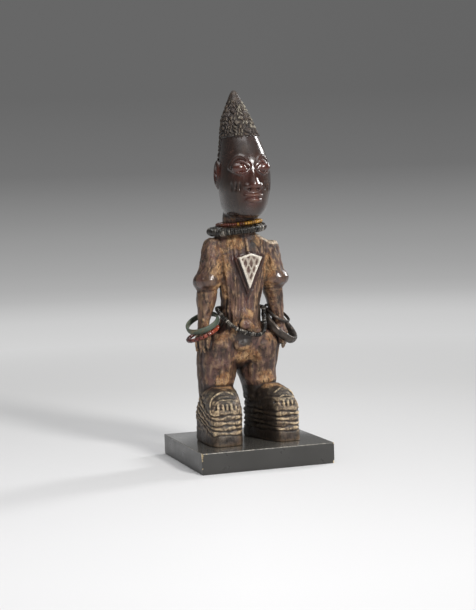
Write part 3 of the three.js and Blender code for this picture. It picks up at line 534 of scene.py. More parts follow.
def carve_foot(block, side):
    """A foot with wavy ridges, a ledge for the toes and a hollow over them inside the rims."""
    keys = foot_keys(side)
    low, high = RIDGES["low"], RIDGES["high"]

    def relief(z, angle, y, u, v):
        outer = ease(side * u, 0.5, 0.95) * (1 - ease(-v, 0.8, 0.98))
        line = z - RIDGES["slope"] * outer * (y + 28)
        line = line + 0.5 * np.sin(4 * angle + 0.8 * z + side) + 0.34 * np.sin(11 * angle - 1.3 * z)
        step = (line - low) / ((high - low) / RIDGES["count"])
        inside = band(line, low - 0.5, low + 0.3, high + 0.2, high + 1)
        wave = 1 - np.abs(np.sin(math.pi * step)) ** 0.7
        ridges = -RIDGES["depth"] * inside * wave + 0.15 * inside
        niche = band(z, NICHE["low"], NICHE["low"] + 1.2, NICHE["high"] - 1, NICHE["high"] + 1)
        facets = 0.18 * np.sin(6 * angle + 0.5) * (1 - ease(z, 5, 9))
        return ridges - NICHE["depth"] * niche * ease(-v, 0.55, 0.85) + facets

    def bend(x, y, across, back, wide, before, behind):
        pull = HEEL_SPREAD * np.clip((y - back + before) / (before + behind), 0, 1) / 2
        return (x + pull * (across / wide + side)) / (1 + pull / wide)

    block.add(form(keys, relief, more=HEEL_SPREAD, bend=bend), 0.6)
    carve_rims(block, keys)
    carve_toes(block, keys)


def carve_rims(block, keys):
    for start, stops, base, rise, roundness, reach, inward, radius in RIMS:
        rim = []
        for angle in np.linspace(start, math.pi - start, stops):
            level = base + rise * math.copysign(abs(math.sin(angle)) ** roundness, math.sin(angle))
            across, _, wide, *_ = section_at(keys, level)
            x = across + reach * wide * math.cos(angle)
            rim.append([x, front_of(keys, x, level) + inward, level])
        block.add(rod(rim, radius), 0.3)


def carve_toes(block, keys):
    count, pitch, low, high, r = TOES.values()
    middle = (low + high) / 2

    def place(k):
        x = section_at(keys, middle)[0] + (k - count / 2) * pitch
        return x, front_of(keys, x, middle)

    for k in range(count):
        x, y = place(k + 0.5)
        line = [[x, y + 0.7, low], [x, y + 0.4, middle], [x, y + 1.0, high]]
        block.add(rod(line, [r, r, 0.8 * r]), 0.2)
    for k in range(count + 1):
        x, y = place(k)
        block.cut(rod([[x, y + 0.1, low + 0.6], [x, y + 0.2, high]], 0.5), 0.3)


def carve_leg(block, side):
    def planes(z, angle, *_):
        flat = -0.5 * np.abs(np.cos(2.5 * angle + 0.6 * side + z / 30)) * ease(z, 46, 54)
        front = ease(-np.sin(angle), 0.2, 0.7)
        return flat + 0.9 * front * np.exp(-(((z - 43) / 2.6) ** 2))

    block.add(form(to_side(LEG, side), planes), 1.2)


BREAK = {"low": 146.7, "inner": 8, "slope": 0.1, "tilt": 0.22, "knee": 21, "rise": 0.5}


def break_level(x, y):
    """The level of the broken face of the shoulder, lower towards the front."""
    level = BREAK["low"] + BREAK["slope"] * (26 - x) + BREAK["tilt"] * np.minimum(y, 0)
    return level + BREAK["rise"] * np.maximum(BREAK["knee"] - x, 0)


def carve_break(block):
    """The figure's left shoulder, broken off flat along the grain."""

    def field(x, y, z):
        grain = 0.35 * np.sin(2.1 * x + 0.3 * y) + 0.3 * np.sin(4.7 * x + 1.1 * y)
        face = break_level(x, y) + grain - z
        return np.maximum(face, BREAK["inner"] + 0.3 * np.sin(1.9 * y) - x)

    block.cut((np.array([8, -20, 142]), np.array([37, 20, 158]), field), 0.3)


def elbow_at(x, level):
    return band(level, 112, 115, 121, 125) * ease(np.abs(x), 17, 20)


def carve_figure():
    """The whole figure as one carved block, with its knife marks."""
    block = Carving([-39.13, -35.71, -1.37], [39.4, 33.2, 260.3], CELL)
    carve_trunk(block)
    for side in SIDES:
        carve_leg(block, side)
        carve_foot(block, side)
        carve_arm(block, side)
        carve_hand(block, side)
    x, _, level = np.ix_(*block.axes)
    kinds = (((4.6, 4.6, 13), 7), ((2.1, 2.1, 5), 9), ((8, 8, 1.8), 10))
    strokes, nicks, scratches = [np.abs(lump_noise(block.axes, *kind)) - 0.2 for kind in kinds]
    marked = (ease(level, 34, 46) * (1 - 0.75 * elbow_at(x, level))).astype(np.float32)
    footed = band(level, 6, 9, 34, 38).astype(np.float32)
    block.wood += (1.1 * strokes + 0.4 * nicks) * marked + (0.7 * scratches + 0.4 * nicks) * footed
    carve_head(block)
    carve_face(block)
    carve_pendant(block)
    carve_break(block)
    rough = 1 - 0.75 * ease(level, 160, 168) * (1 - ease(level, 224, 228))
    rough = (rough * ease(level, 0.5, 3)).astype(np.float32)
    block.wood += 0.16 * rough * lump_noise(block.axes, (6.5, 6.5, 6.5), 5)
    block.wood += 0.10 * rough * lump_noise(block.axes, (2.6, 2.6, 2.6), 6)
    return block


# Meshes


def new_object(name, data):
    made = bpy.data.objects.new(name, data)
    bpy.context.scene.collection.objects.link(made)
    return made


def mesh_from(name, places, faces, edges=()):
    mesh = bpy.data.meshes.new(name)
    mesh.from_pydata(places, edges, faces)
    mesh.update()
    return mesh


def plain_mesh(made, name):
    """The evaluated object as a plain mesh, with the object's modifiers taken off."""
    seen = made.evaluated_get(bpy.context.evaluated_depsgraph_get())
    mesh = bpy.data.meshes.new_from_object(seen)
    mesh.name = name
    made.modifiers.clear()
    made.data = mesh
    return mesh


def corners_of(mesh):
    places = np.empty(len(mesh.vertices) * 3)
    mesh.vertices.foreach_get("co", places)
    return places.reshape(-1, 3)


def face_outwards(mesh):
    """Turns the faces round if the mesh encloses a negative volume."""
    mesh.calc_loop_triangles()
    index = np.empty(len(mesh.loop_triangles) * 3, int)
    mesh.loop_triangles.foreach_get("vertices", index)
    a, b, c = corners_of(mesh)[index.reshape(-1, 3)].transpose(1, 0, 2)
    if np.einsum("ij,ij->i", a, np.cross(b, c)).sum() < 0:
        mesh.flip_normals()


def smoothed(mesh):
    mesh.polygons.foreach_set("use_smooth", [True] * len(mesh.polygons))


def ring_faces(rows, around, first=0, closed=False):
    """Quads between rings of corners that follow each other."""
    faces = []
    for i in range(rows if closed else rows - 1):
        a, b = first + i * around, first + (i + 1) % rows * around
        for k in range(around):
            m = (k + 1) % around
            faces.append((a + k, b + k, b + m, a + m))
    return faces


def one_shell(mesh):
    """Keeps the mesh's biggest shell alone and closes the pinholes that thinning leaves in it."""
    work = bmesh.new()
    work.from_mesh(mesh)
    corners = list(work.verts)
    near = [[edge.other_vert(corner).index for edge in corner.link_edges] for corner in corners]
    left = set(range(len(corners)))
    shells = []
    while left:
        shell = [left.pop()]
        for k in shell:
            joined = left.intersection(near[k])
            left -= joined
            shell.extend(joined)
        shells.append(shell)
    strays = sorted(k for shell in sorted(shells, key=len)[:-1] for k in shell)
    bmesh.ops.delete(work, geom=[corners[k] for k in strays], context="VERTS")
    bmesh.ops.dissolve_degenerate(work, dist=LEAST_EDGE, edges=work.edges)
    bmesh.ops.holes_fill(work, edges=[edge for edge in work.edges if edge.is_boundary], sides=0)
    bmesh.ops.triangulate(work, faces=[face for face in work.faces if len(face.verts) > 3])
    work.to_mesh(mesh)
    work.free()


def skinned(block, name):
    """The block's skin as a mesh object in its own millimetres, thinned to the triangle limit."""
    grid = openvdb.FloatGrid(FAR)
    grid.copyFromArray(block.wood)
    grid.transform = openvdb.createLinearTransform(voxelSize=block.cell)
    places, quads = grid.convertToQuads(isovalue=0.0)
    made = new_object(name, mesh_from(name, places + block.low, quads))
    if 2 * len(quads) > MOST_TRIANGLES:
        thin = made.modifiers.new("Thin", "DECIMATE")
        thin.ratio = MOST_TRIANGLES / (2 * len(quads))
    one_shell(plain_mesh(made, name))
    face_outwards(made.data)
    return made


# Worn and dirty spots of the wood, and spots of painted shade: x, y, z, reach and strength in each row


def blobs(places, spots):
    total = np.zeros(len(places))
    for x, y, z, reach, strength in spots:
        total += strength * np.exp(-((places - [x, y, z]) ** 2).sum(1) / reach**2)
    return np.clip(total, 0, 1)


def both_sides(spots):
    return spots + [[-x, *rest] for x, *rest in spots]


# Where camwood powder has stayed; most of it lies in the sheltered places
CAMWOOD = both_sides([
    [18, -8, 125, 7, 0.9], [19, -6, 112, 6, 0.9], [17, -10, 134, 5, 0.6], [22, -6, 100, 6, 0.7],
    [13, -15, 84, 5, 0.9], [20, -12, 77, 6.5, 1], [26, -10, 80, 6, 0.8], [5, -9, 60, 6.5, 1],
    [12, -10, 45, 6, 1.4], [21, -9, 45, 6, 1.4], [10, -14, 147, 5, 0.8], [8, -14, 160, 7, 0.7],
    [12, 10, 90, 8, 0.6], [18, 10, 118, 8, 0.6], [16, 26, 62, 9, 0.4], [20, 24, 46, 8, 0.6],
    [27, -4, 88, 5, 0.6], [24, -18, 37, 4, 0.5],
]) + [
    [-6, -14, 146, 6, 0.6], [2, -15, 95, 6, 0.7], [0, -8, 62, 6, 0.6], [0, 14, 158, 9, 0.5],
    [-9, -15, 88, 5, 0.7], [4, -15, 84, 5, 0.7], [-16, -8, 142, 6, 0.5], [-3, -12, 67, 3.5, 0.9],
]
# Dark spots: grime on the wood, and painted shade behind the wrists, beside the hips, between the legs and
# the feet, in the navel's ring and beside the cord
BLACKENED_AND_SHADED = both_sides([
    [22, -24, 34, 6, 0.7], [8, 4, 29, 9, 0.9], [20, 4, 82, 6, 0.8], [30, -4, 68, 6, 0.45],
    [12, -12, 80, 4, 0.5], [10, 6, 22, 10, 0.9], [23, -28, 35, 7, 0.9], [33, 6, 14, 9, 0.5],
]) + [
    [-17, -6, 88, 6, 0.9], [14, -8, 92, 7, 0.9], [-3, -14, 76, 6, 0.9], [12, -14, 12, 9, 1],
    [12, -8, 28, 9, 1], [-28, -4, 136, 7, 0.5], [-3, -14, 75, 5, 0.8], [28, -6, 104, 7, 0.6],
    [2, -10, 60, 3, 0.9], [-20, -10, 68, 4, 0.5], [3, -15, 81, 3.5, 0.8], [-8.5, -15, 83, 3, 0.8],
    [4, -15, 90, 3, 0.6], [6, -13, 146, 5, 0.7], [-20, -12, 148, 5, 0.5], [-14, -12, 66, 5, 0.5],
    [12, -12, 70, 5, 0.5],
]
RUBBED = [
    [14, -14, 56, 8, 0.9], [-10, -13, 54, 7, 0.9], [-24, -6, 60, 8, 0.6], [0, -14, 98, 6, 0.9],
    [-2, -14, 106, 6, 0.7], [-28, -6, 134, 7, 0.7], [26, -8, 130, 6, 0.7], [8, -14, 112, 5, 0.5],
    [-26, -8, 104, 5, 0.5], [0, 16, 120, 14, 0.6], [-14, 24, 66, 10, 0.6], [14, 24, 66, 10, 0.6],
]
# Where handling has left the face red-brown: the nose, the lips, the eyes and the ears
REDDENED = [[MIDDLE, -31, NOSE_BASE + 3, 5, 0.8], [MIDDLE, -31, MOUTH, 7, 0.9]]
for side in SIDES:
    REDDENED.append([MIDDLE + side * EYES["apart"], EYES["back"] - 3, EYE, 7, 1])
    REDDENED.append([MIDDLE + side * 19, -6, EYE - 4, 6, 0.8])


def paint_figure(mesh, block):
    """How hollow, how proud and how worn the wood is at each vertex, what lies on it, and where shade and
    highlights are painted on it.
    """
    places = corners_of(mesh)
    x, y, level = places.T
    filled = np.clip(0.5 - block.wood / (2 * CELL), 0, 1)
    fine = block.values_at(blurred(filled, max(round(1.3 / CELL), 1)), places)
    broad_shade = block.values_at(blurred(filled, round(7 / CELL)), places)
    hair_line = np.interp(y, *np.array(HAIR_EDGE, float).T)
    hair = ease(level - hair_line, -0.6, 0.8) * ease(level, 184, 190)
    head = ease(level, 163, 167) * (1 - hair)
    head = head * (1 - 0.6 * blobs(places, [[MIDDLE, -30, MOUTH + 2, 8, 1]]))
    elbow = elbow_at(x, level)
    pendant = (outline_inside(PENDANT, x, level) < 0.3) & (y < -14)
    base = (outline_inside(PENDANT_BASE, x, level) < 2.4) & (y < -11)
    border = base & ~pendant
    foot = 1 - ease(level, 37, 40)
    # Painted shade: the left foot's inner side, dark between the feet
    inner = 0.95 * foot * (x > 0) * (1 - ease(x, 12.8, 16))
    dome = band(level, 33.5, 35.5, 40, 41.6) * (y < -6)
    sole = 1 - ease(level, 7.5, 9)
    tip = ease(level, TUFTS["tip"] - 3, TUFTS["tip"] + 3)
    navel = blobs(places, [[-2.6, -17, 86.2, 4.8, 1]])
    mound = blobs(places, [[-3.2, -12.4, 72, 8, 1]])
    # More towards the figure's left, the side the light falls on: painted light on the hair
    lit_side = 0.12 + 0.88 * ease(x, -10, 4)
    above = level - break_level(x, y)
    # The dark layer: the hair, the head, the pendant's border and grime, with the painted shade of the dark
    # spots
    black = blobs(places, BLACKENED_AND_SHADED) + 1.2 * hair + 0.82 * head + border + 0.8 * dome
    kept = {
        # cut is how deep a place lies in a fine hollow, where shade is painted; edge is how proud the wood
        # stands
        "cut": (fine - 0.5) * 6,
        "edge": (0.5 - fine) * 6,
        "polish": head + 0.8 * elbow + 0.2 * tip + navel + 0.2 * mound + 0.4 * base,
        "red": 0.05 * head + blobs(places, REDDENED) + 0.5 * base + 0.5 * navel,
        # Painted shade in the broad hollows, and the pendant's dark border
        "sunk": (broad_shade - 0.5) * 4.5 + border,
        "ochre": blobs(places, CAMWOOD) * ((1 - hair) * (1 - head) * (1 - border)),
        "flat": blobs(places, RUBBED),
        "black": black + 0.3 * elbow + inner + 0.45 * sole,
        "residue": hair * (1 - tip) * lit_side + 0.15 * foot,
        # The pendant: paler, with painted white glints on its bars and rim
        "bright": pendant,
        "foot": foot,
        "ledges": foot * ease(level, 6.5, 8.5) * (1 - inner),
        "bared": (x > BREAK["inner"] + 1) & (above > -1) & (above < 4),
    }
    for name, values in kept.items():
        attribute = mesh.attributes.new(name, "FLOAT", "POINT")
        attribute.data.foreach_set("value", np.clip(values.astype(float), 0, 1).astype(np.float32))


# Node trees


def arithmetic(operation, turned_round=False):
    """A sum, difference or product of two values, as a Math node."""

    def node(a, b):
        return a.nodes.maths(operation, b, a) if turned_round else a.nodes.maths(operation, a, b)

    return node


class Value:
    """A socket of a node tree; sums and products of it are Math nodes."""

    __add__ = arithmetic("ADD")
    __sub__ = arithmetic("SUBTRACT")
    __rsub__ = arithmetic("SUBTRACT", turned_round=True)
    __mul__ = arithmetic("MULTIPLY")
    __truediv__ = arithmetic("DIVIDE")

    def __init__(self, nodes, socket):
        self.nodes, self.socket = nodes, socket

    def span(self, low, high, to_low=0.0, to_high=1.0):
        """The value carried from one range to another, and held at its ends."""
        values = {"Value": self, "From Min": low, "From Max": high, "To Min": to_low, "To Max": to_high}
        return self.nodes.value("ShaderNodeMapRange", values)


class Nodes:
    """A node tree with a short call for each kind of node."""

    def __init__(self, tree):
        self.tree = tree

    def make(self, kind, values=None, **settings):
        """A node, with its settings and its inputs by name; an input is a number or a value."""
        node = self.tree.nodes.new(kind)
        for key, value in settings.items():
            setattr(node, key, value)
        for key, value in (values or {}).items():
            self.put(node, key, value)
        return node

    def put(self, node, key, value):
        """Fills an input; three numbers for a colour are its 0 to 255 screen numbers."""
        sockets = [s for s in node.inputs if s.name == key and s.enabled]
        socket = node.inputs[key] if isinstance(key, int) else sockets[0]
        if isinstance(value, Value):
            self.tree.links.new(value.socket, socket)
        elif socket.type == "RGBA" and len(value) == 3:
            socket.default_value = srgb(*value)
        else:
            socket.default_value = value

    def value(self, kind, values=None, name=None, **settings):
        """A new node's first live output, or the live one of that name."""
        node = self.make(kind, values, **settings)
        return Value(self, next(s for s in node.outputs if s.enabled and name in (None, s.name)))

    def maths(self, operation, a, b=0.0, clamp=False):
        return self.value("ShaderNodeMath", {0: a, 1: b}, operation=operation, use_clamp=clamp)


FINISHES = {}  # every material made, by the name asked for


class Finish(Nodes):
    """A material's tree, with its Principled shader."""

    def __init__(self, name, **shader):
        self.material = FINISHES[name] = bpy.data.materials.new(name)
        self.material.use_nodes = True
        super().__init__(self.material.node_tree)
        self.tree.nodes.clear()
        self.shader = self.make("ShaderNodeBsdfPrincipled")
        self.end = self.make("ShaderNodeOutputMaterial", {"Surface": Value(self, self.shader.outputs[0])})
        self.place = self.value("ShaderNodeTexCoord", name="Object")
        self.set(**shader)

    def set(self, **values):
        for key, value in values.items():
            self.put(self.shader, key.replace("_", " "), value)

    def noise(self, scale, detail=4.0, rough=0.55, stretch=(1, 1, 1), distortion=0.0):
        """Noise over the piece; scale is lumps to the metre."""
        place = self.value("ShaderNodeMapping", {"Vector": self.place, "Scale": stretch})
        values = {"Scale": scale, "Detail": detail, "Roughness": rough, "Distortion": distortion}
        return self.value("ShaderNodeTexNoise", {"Vector": place, **values})

    def broken(self, mask, noise, amount):
        """A soft mask with its border broken up by a noise."""
        return (mask + (noise - 0.5) * amount).span(0.3, 0.6) * mask.span(0.02, 0.2)

    def mix(self, share, a, b, **settings):
        return self.value("ShaderNodeMix", {"Factor": share, "A": a, "B": b}, data_type="RGBA", **settings)

    def layers(self, colour, *coats):
        """A colour with further colours laid over it, each by its share."""
        for share, over in coats:
            colour = self.mix(share, colour, over)
        return colour

    def kept(self, name):
        """A number kept for each vertex."""
        return self.value("ShaderNodeAttribute", name="Fac", attribute_name=name)

    def bump(self, height, distance, strength=1.0):
        values = {"Height": height, "Distance": distance, "Strength": strength}
        return self.value("ShaderNodeBump", values)

    def parts(self):
        """The object's x, y and z."""
        outputs = self.make("ShaderNodeSeparateXYZ", {"Vector": self.place}).outputs
        return [Value(self, socket) for socket in outputs]


def srgb(red, green, blue):
    """A colour from its 0 to 255 screen numbers, as linear light."""
    linear = [((v / 255 + 0.055) / 1.055) ** 2.4 if v > 10 else v / 255 / 12.92 for v in (red, green, blue)]
    return (*linear, 1.0)


def figure_wood():
    """Old handled wood: red-brown with oil, ochre where camwood powder lies, tan on worn edges; shade is
    painted dark into its hollows, and highlights onto the pendant and the hair.
    """
    f = Finish("figure_wood", Specular_IOR_Level=0.5, Coat_Roughness=0.12, Coat_IOR=1.5)
    cut, edge, polish, hair, bright = map(f.kept, ("cut", "edge", "polish", "residue", "bright"))
    grain = f.noise(170, 6, 0.65, stretch=(1, 1, 0.1))
    streaks = f.noise(330, 5, 0.6, stretch=(1, 1, 0.07))
    flecks = f.noise(420, 4, 0.7, stretch=(1, 1, 0.45))
    patches = f.noise(60, 5, 0.62, distortion=0.6)
    powder = f.noise(95, 6, 0.7, distortion=0.8)
    crust = f.noise(230, 4, 0.7)
    grit = f.noise(620, 5, 0.75)
    rubbed = 1.0 - polish
    ochre = f.broken(f.kept("ochre"), powder, 1.8)
    black = f.broken(f.kept("black"), crust, 1.8)
    flat = f.broken(f.kept("flat"), powder, 1.6)
    rough_cut = f.maths("SUBTRACT", rubbed, flat * 0.7, clamp=True)
    ledges = f.kept("ledges") * crust.span(0.4, 0.54, 0.12, 1) * grit.span(0.35, 0.5, 0.4, 1)
    dust = ochre * flecks.span(0.44, 0.52, 0.35, 1) * cut.span(0, 1, 1, 0.45)
    colour = f.layers(
        f.mix(patches.span(0.42, 0.58), (56, 34, 26), (96, 69, 63)),
        (grain.span(0.48, 0.66, 0, 0.5), (132, 98, 70)),
        (flat * 0.7, (100, 72, 66)),
        (streaks.span(0.54, 0.62, 0, 0.85) * rough_cut, (30, 17, 12)),
        (f.kept("foot") * patches.span(0.35, 0.6, 0.3, 0.9), (68, 60, 52)),
        (edge * crust.span(0.42, 0.58, 0.1, 1) * rubbed, (184, 152, 116)),
        # Dark wood and grime, with painted shade from the dark spots and the left foot's inner side
        (black * 0.85, (26, 20, 16)),
        (edge * ledges, (214, 192, 156)),
        # Painted shade: near black in the fine carved hollows
        (cut * 0.94, (17, 11, 8)),
        # Painted shade in the broad hollows, and the pendant's dark border
        (f.kept("sunk") * 0.6, (26, 17, 11)),
        (dust, f.mix(crust.span(0.4, 0.6), (140, 94, 56), (198, 160, 116))),
        (flecks.span(0.54, 0.62, 0, 0.8) * rough_cut, (24, 15, 10)),
        # Pale powder and a painted highlight on the tufts' edges, mostly on the lit side
        (hair * edge * powder.span(0.47, 0.56) * grit.span(0.42, 0.56, 0.1, 0.8), (196, 190, 170)),
        (f.kept("red") * f.noise(90, 4, 0.5).span(0.4, 0.6, 0.4, 0.9), (84, 34, 22)),
        # The pendant paler away from its hollows, and painted white glints on its bars and rim
        (bright * cut.span(0, 0.6, 0.8, 0), (132, 116, 100)),
        (bright * edge * grit.span(0.36, 0.54, 0.45, 1), (220, 212, 198)),
        (f.kept("bared") * streaks.span(0.4, 0.56, 1, 0.25), (208, 190, 166)),
    )
    rough = patches.span(0.42, 0.58, 0.5, 0.36) - f.maths("MAXIMUM", polish, flat) * 0.16
    rough = rough + f.maths("MAXIMUM", dust * 0.35, hair * 0.2) + (grit - 0.5) * 0.4 * rubbed
    coarse = (grit + flecks) * polish.span(0, 1, 0.6, 0.08) * ochre.span(0, 1, 1, 2)
    coat = f.maths("ADD", polish * 0.5, bright * 0.5, clamp=True)
    f.set(Base_Color=colour, Roughness=rough, Coat_Weight=coat,
          Normal=f.bump(grain * 0.6 * rubbed + coarse, 0.0007))
    return f.material


def plinth_paint():
    """Satin black paint, rubbed through along its edges; its top is painted lighter as a painted reflection
    of the pale studio.
    """
    f = Finish("plinth_paint", Specular_IOR_Level=0.5, Coat_Roughness=0.08, Coat_IOR=1.9)
    x, y, z = f.parts()
    low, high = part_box("plinth")
    half = (high.x - low.x) / 2
    side = f.maths("MAXIMUM", f.maths("ABSOLUTE", x), f.maths("ABSOLUTE", y))
    worn = side.span(half - 0.0008, half - 0.0002) * z.span(high.z - 0.0008, high.z - 0.0002)
    worn = worn * f.noise(260, 5, 0.7).span(0.42, 0.6)
    on_top = z.span(high.z - 0.0004, high.z - 0.0001)
    colour = f.mix(f.noise(30, 4).span(0.3, 0.7), (50, 49, 47), (60, 59, 57))
    # The top painted lighter: a painted reflection of the pale studio
    colour = f.layers(colour, (on_top, (86, 84, 80)), (worn * 0.7, (176, 170, 156)))
    satin = f.noise(90, 5, 0.6).span(0.3, 0.7, 0.26, 0.36) - on_top * 0.16
    f.set(Base_Color=colour, Roughness=satin, Coat_Weight=on_top,
          Normal=f.bump(f.noise(700, 3), 0.00001, 0.5))
    return f.material


def bare_wood():
    """Light wood where the plinth is chipped."""
    f = Finish("bare_wood", Specular_IOR_Level=0.3, Roughness=0.75)
    grain = f.noise(300, 5, 0.6, stretch=(1, 0.15, 1))
    f.set(Base_Color=f.mix(grain, (180, 160, 122), (214, 200, 170)), Normal=f.bump(grain, 0.0002, 0.6))
    return f.material


def bead_finish(name, dark, light, rim, rough, **shader):
    """A bead's finish, with its tone from bead to bead, a fine grain and a pale rim, which is wear and a
    painted glint.
    """
    f = Finish(name, **shader)
    tone = f.kept("tone")
    cloud = f.noise(420, 4)
    colour = f.mix(tone * cloud.span(0.35, 0.65, 0.4, 1), dark, light)
    # The pale rim: wear, and a painted glint on the beads' edges
    worn = f.kept("rim").span(0.86, 0.98) * f.noise(160, 4).span(0.48, 0.62) * tone.span(0.4, 1)
    f.set(Base_Color=f.mix(worn, colour, rim), Roughness=cloud.span(0.3, 0.7, rough - 0.08, rough + 0.12),
          Normal=f.bump(f.noise(1500, 3), 0.00006, 0.5))


def glass(name, ends, uneven, reach, right, left, crust, grime, **shader):
    """Glass beads that change colour from the figure's right to its left, with grime on them."""
    f = Finish(name, **shader)
    share = f.parts()[0].span(*ends) + (f.kept("tone") - 0.5) * uneven
    scale, *dirty = crust
    colour = f.layers(f.mix(share.span(*reach), right, left), (f.noise(scale, 4).span(*dirty), grime))
    f.set(Base_Color=colour, Normal=f.bump(f.noise(1500, 3), 0.00005, 0.5))


def bronze(name, base, crust, shine, crust_share):
    """Worn bronze: the metal shows in some patches and a dull crust lies over the rest, by a noise."""
    f = Finish(name, Specular_IOR_Level=0.5)
    crusted = f.noise(170, 6, 0.65).span(0.62 - crust_share * 0.3, 0.7 - crust_share * 0.3)
    f.set(Base_Color=f.mix(crusted, base, crust), Metallic=crusted.span(0, 1, 0.9, 0.25),
          Roughness=crusted.span(0, 1, shine, 0.62), Normal=f.bump(f.noise(600, 5, 0.65), 0.00025, 0.6))


# Strings and hoops


def loop_of(node, order, count):
    """The middle line of a ring-shaped piece of the frame, eased by a few waves, in metres."""
    places = np.unique(np.round(corners_of(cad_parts[node].data), 7), axis=0)
    middle = places.mean(0)
    _, _, ways = np.linalg.svd(places - middle, full_matrices=False)
    if ways[2][2] < 0:
        ways[2] = -ways[2]
    ways[0] = np.cross(ways[1], ways[2])
    a, b, up = ((places - middle) @ ways.T).T

    def waves(at):
        columns = [np.ones_like(at)]
        for k in range(1, order + 1):
            columns += [np.cos(k * at), np.sin(k * at)]
        return np.stack(columns, 1)

    at = np.linspace(0, TURN, count, endpoint=False)
    reach, lift = [waves(at) @ np.linalg.lstsq(waves(np.arctan2(b, a)), values, rcond=None)[0]
                   for values in (np.hypot(a, b), up)]
    flat = np.stack([reach * np.cos(at), reach * np.sin(at), lift], 1)
    return middle + flat @ ways, ways[2]


BEAD_SIZES = ("Bead width", "Bead length", "Hole", "Rounding", "Thread", "Askew", "Uneven")
BEAD_CORNERS = 16
THREAD_CORNERS = 6
SPIN = 3.1  # how far a bead may be turned on its thread, in radians
# Each string: node, slot, waves of its loop, seed, pitch and the first five bead sizes in
# millimetres, then how far beads lean in radians and how much smaller they may be
STRINGS = {
    "neck_discs": ["neck_disc_beads", "shell_discs", 2, 31, 1.35, [6.1, 1.2, 1.4, 0.35, 1.2], 0.10, 0.08],
    "neck_seeds": ["neck_seed_beads", "seed_beads", 2, 41, 1.9, [2.65, 1.75, 0.8, 0.44, 0.7], 0.14, 0.12],
    "waist_discs": ["waist_disc_beads", "shell_discs", 9, 51, 1.3, [3.5, 1.1, 0.9, 0.3, 0.8], 0.16, 0.12],
    "wrist_reds": ["right_wrist_red_beads", "red_glass", 2, 61, 3.4, [2.95, 3.2, 1.0, 0.35, 0.8], 0.06, 0.06],
}
# Each hoop: node, slot, half thickness and half width in millimetres, squareness, dents and seed
HOOPS = {
    "wrist_band": ["right_wrist_bangle", "green_bronze", 0.85, 2.1, 3.0, 0.05, 71],
    "wrist_heavy": ["left_wrist_heavy_bangle", "dark_bronze", 1.9, 3.0, 2.2, 0.04, 72],
    "wrist_thin": ["left_wrist_thin_bangle", "dark_bronze", 0.75, 1.1, 2.4, 0.05, 73],
}


class Threading(Nodes):
    """A geometry node tree that threads beads; an input's name is a keyword, _ for a space."""

    def geo(self, kind, settings=None, **inputs):
        values = {key.replace("_", " "): value for key, value in inputs.items()}
        return self.value("GeometryNode" + kind, values, **(settings or {}))

    def kept(self, geometry, name, value, domain):
        settings = {"data_type": "FLOAT", "domain": domain}
        return self.geo("StoreNamedAttribute", settings, Geometry=geometry, Name=name, Value=value)

    def random(self, low, high, kind, seed):
        values = {"Min": low, "Max": high, "Seed": seed}
        return self.value("FunctionNodeRandomValue", values, data_type=kind)

    def circle(self, corners, radius):
        return self.geo("CurvePrimitiveCircle", {"mode": "RADIUS"}, Resolution=corners, Radius=radius)

    def bead(self, width, length, hole, rounding):
        """A ring of a rounded section."""
        sides = {"Width": (width - hole) * 0.5, "Height": length}
        section = self.geo("CurvePrimitiveQuadrilateral", {"mode": "RECTANGLE"}, **sides)
        eased = {"Count": 2, "Radius": rounding, "Limit_Radius": True}
        section = self.geo("FilletCurve", {"mode": "POLY"}, Curve=section, **eased)
        ring = self.circle(BEAD_CORNERS, (width + hole) * 0.25)
        bead = self.geo("CurveToMesh", Curve=ring, Profile_Curve=section)
        away = self.value("ShaderNodeVectorMath", {0: self.geo("InputPosition")}, operation="LENGTH")
        return self.kept(bead, "rim", away / (width * 0.5), "POINT")

    def threaded(self, loop, count, bead, askew, uneven, seed):
        """Beads in even steps along a loop, each a little askew and of its own size and tone."""
        stops = self.geo("ResampleCurve", {"mode": "COUNT"}, Curve=loop, Count=count)
        way = {"Vector": self.geo("InputTangent")}
        along = self.value("FunctionNodeAlignRotationToVector", way, axis="Z")
        placed = self.geo("InstanceOnPoints", Points=stops, Instance=bead, Rotation=along)
        low, high = [self.value("ShaderNodeCombineXYZ", {"X": tilt, "Y": tilt, "Z": spin})
                     for tilt, spin in ((askew * -1.0, 0.0), (askew, SPIN))]
        turn = self.random(low, high, "FLOAT_VECTOR", seed + 1)
        placed = self.geo("RotateInstances", Instances=placed, Rotation=turn)
        size = self.random(1.0 - uneven, 1.0, "FLOAT", seed + 2)
        placed = self.geo("ScaleInstances", Instances=placed, Scale=size)
        placed = self.kept(placed, "tone", self.random(0.0, 1.0, "FLOAT", seed + 3), "INSTANCE")
        return self.geo("RealizeInstances", Geometry=placed)


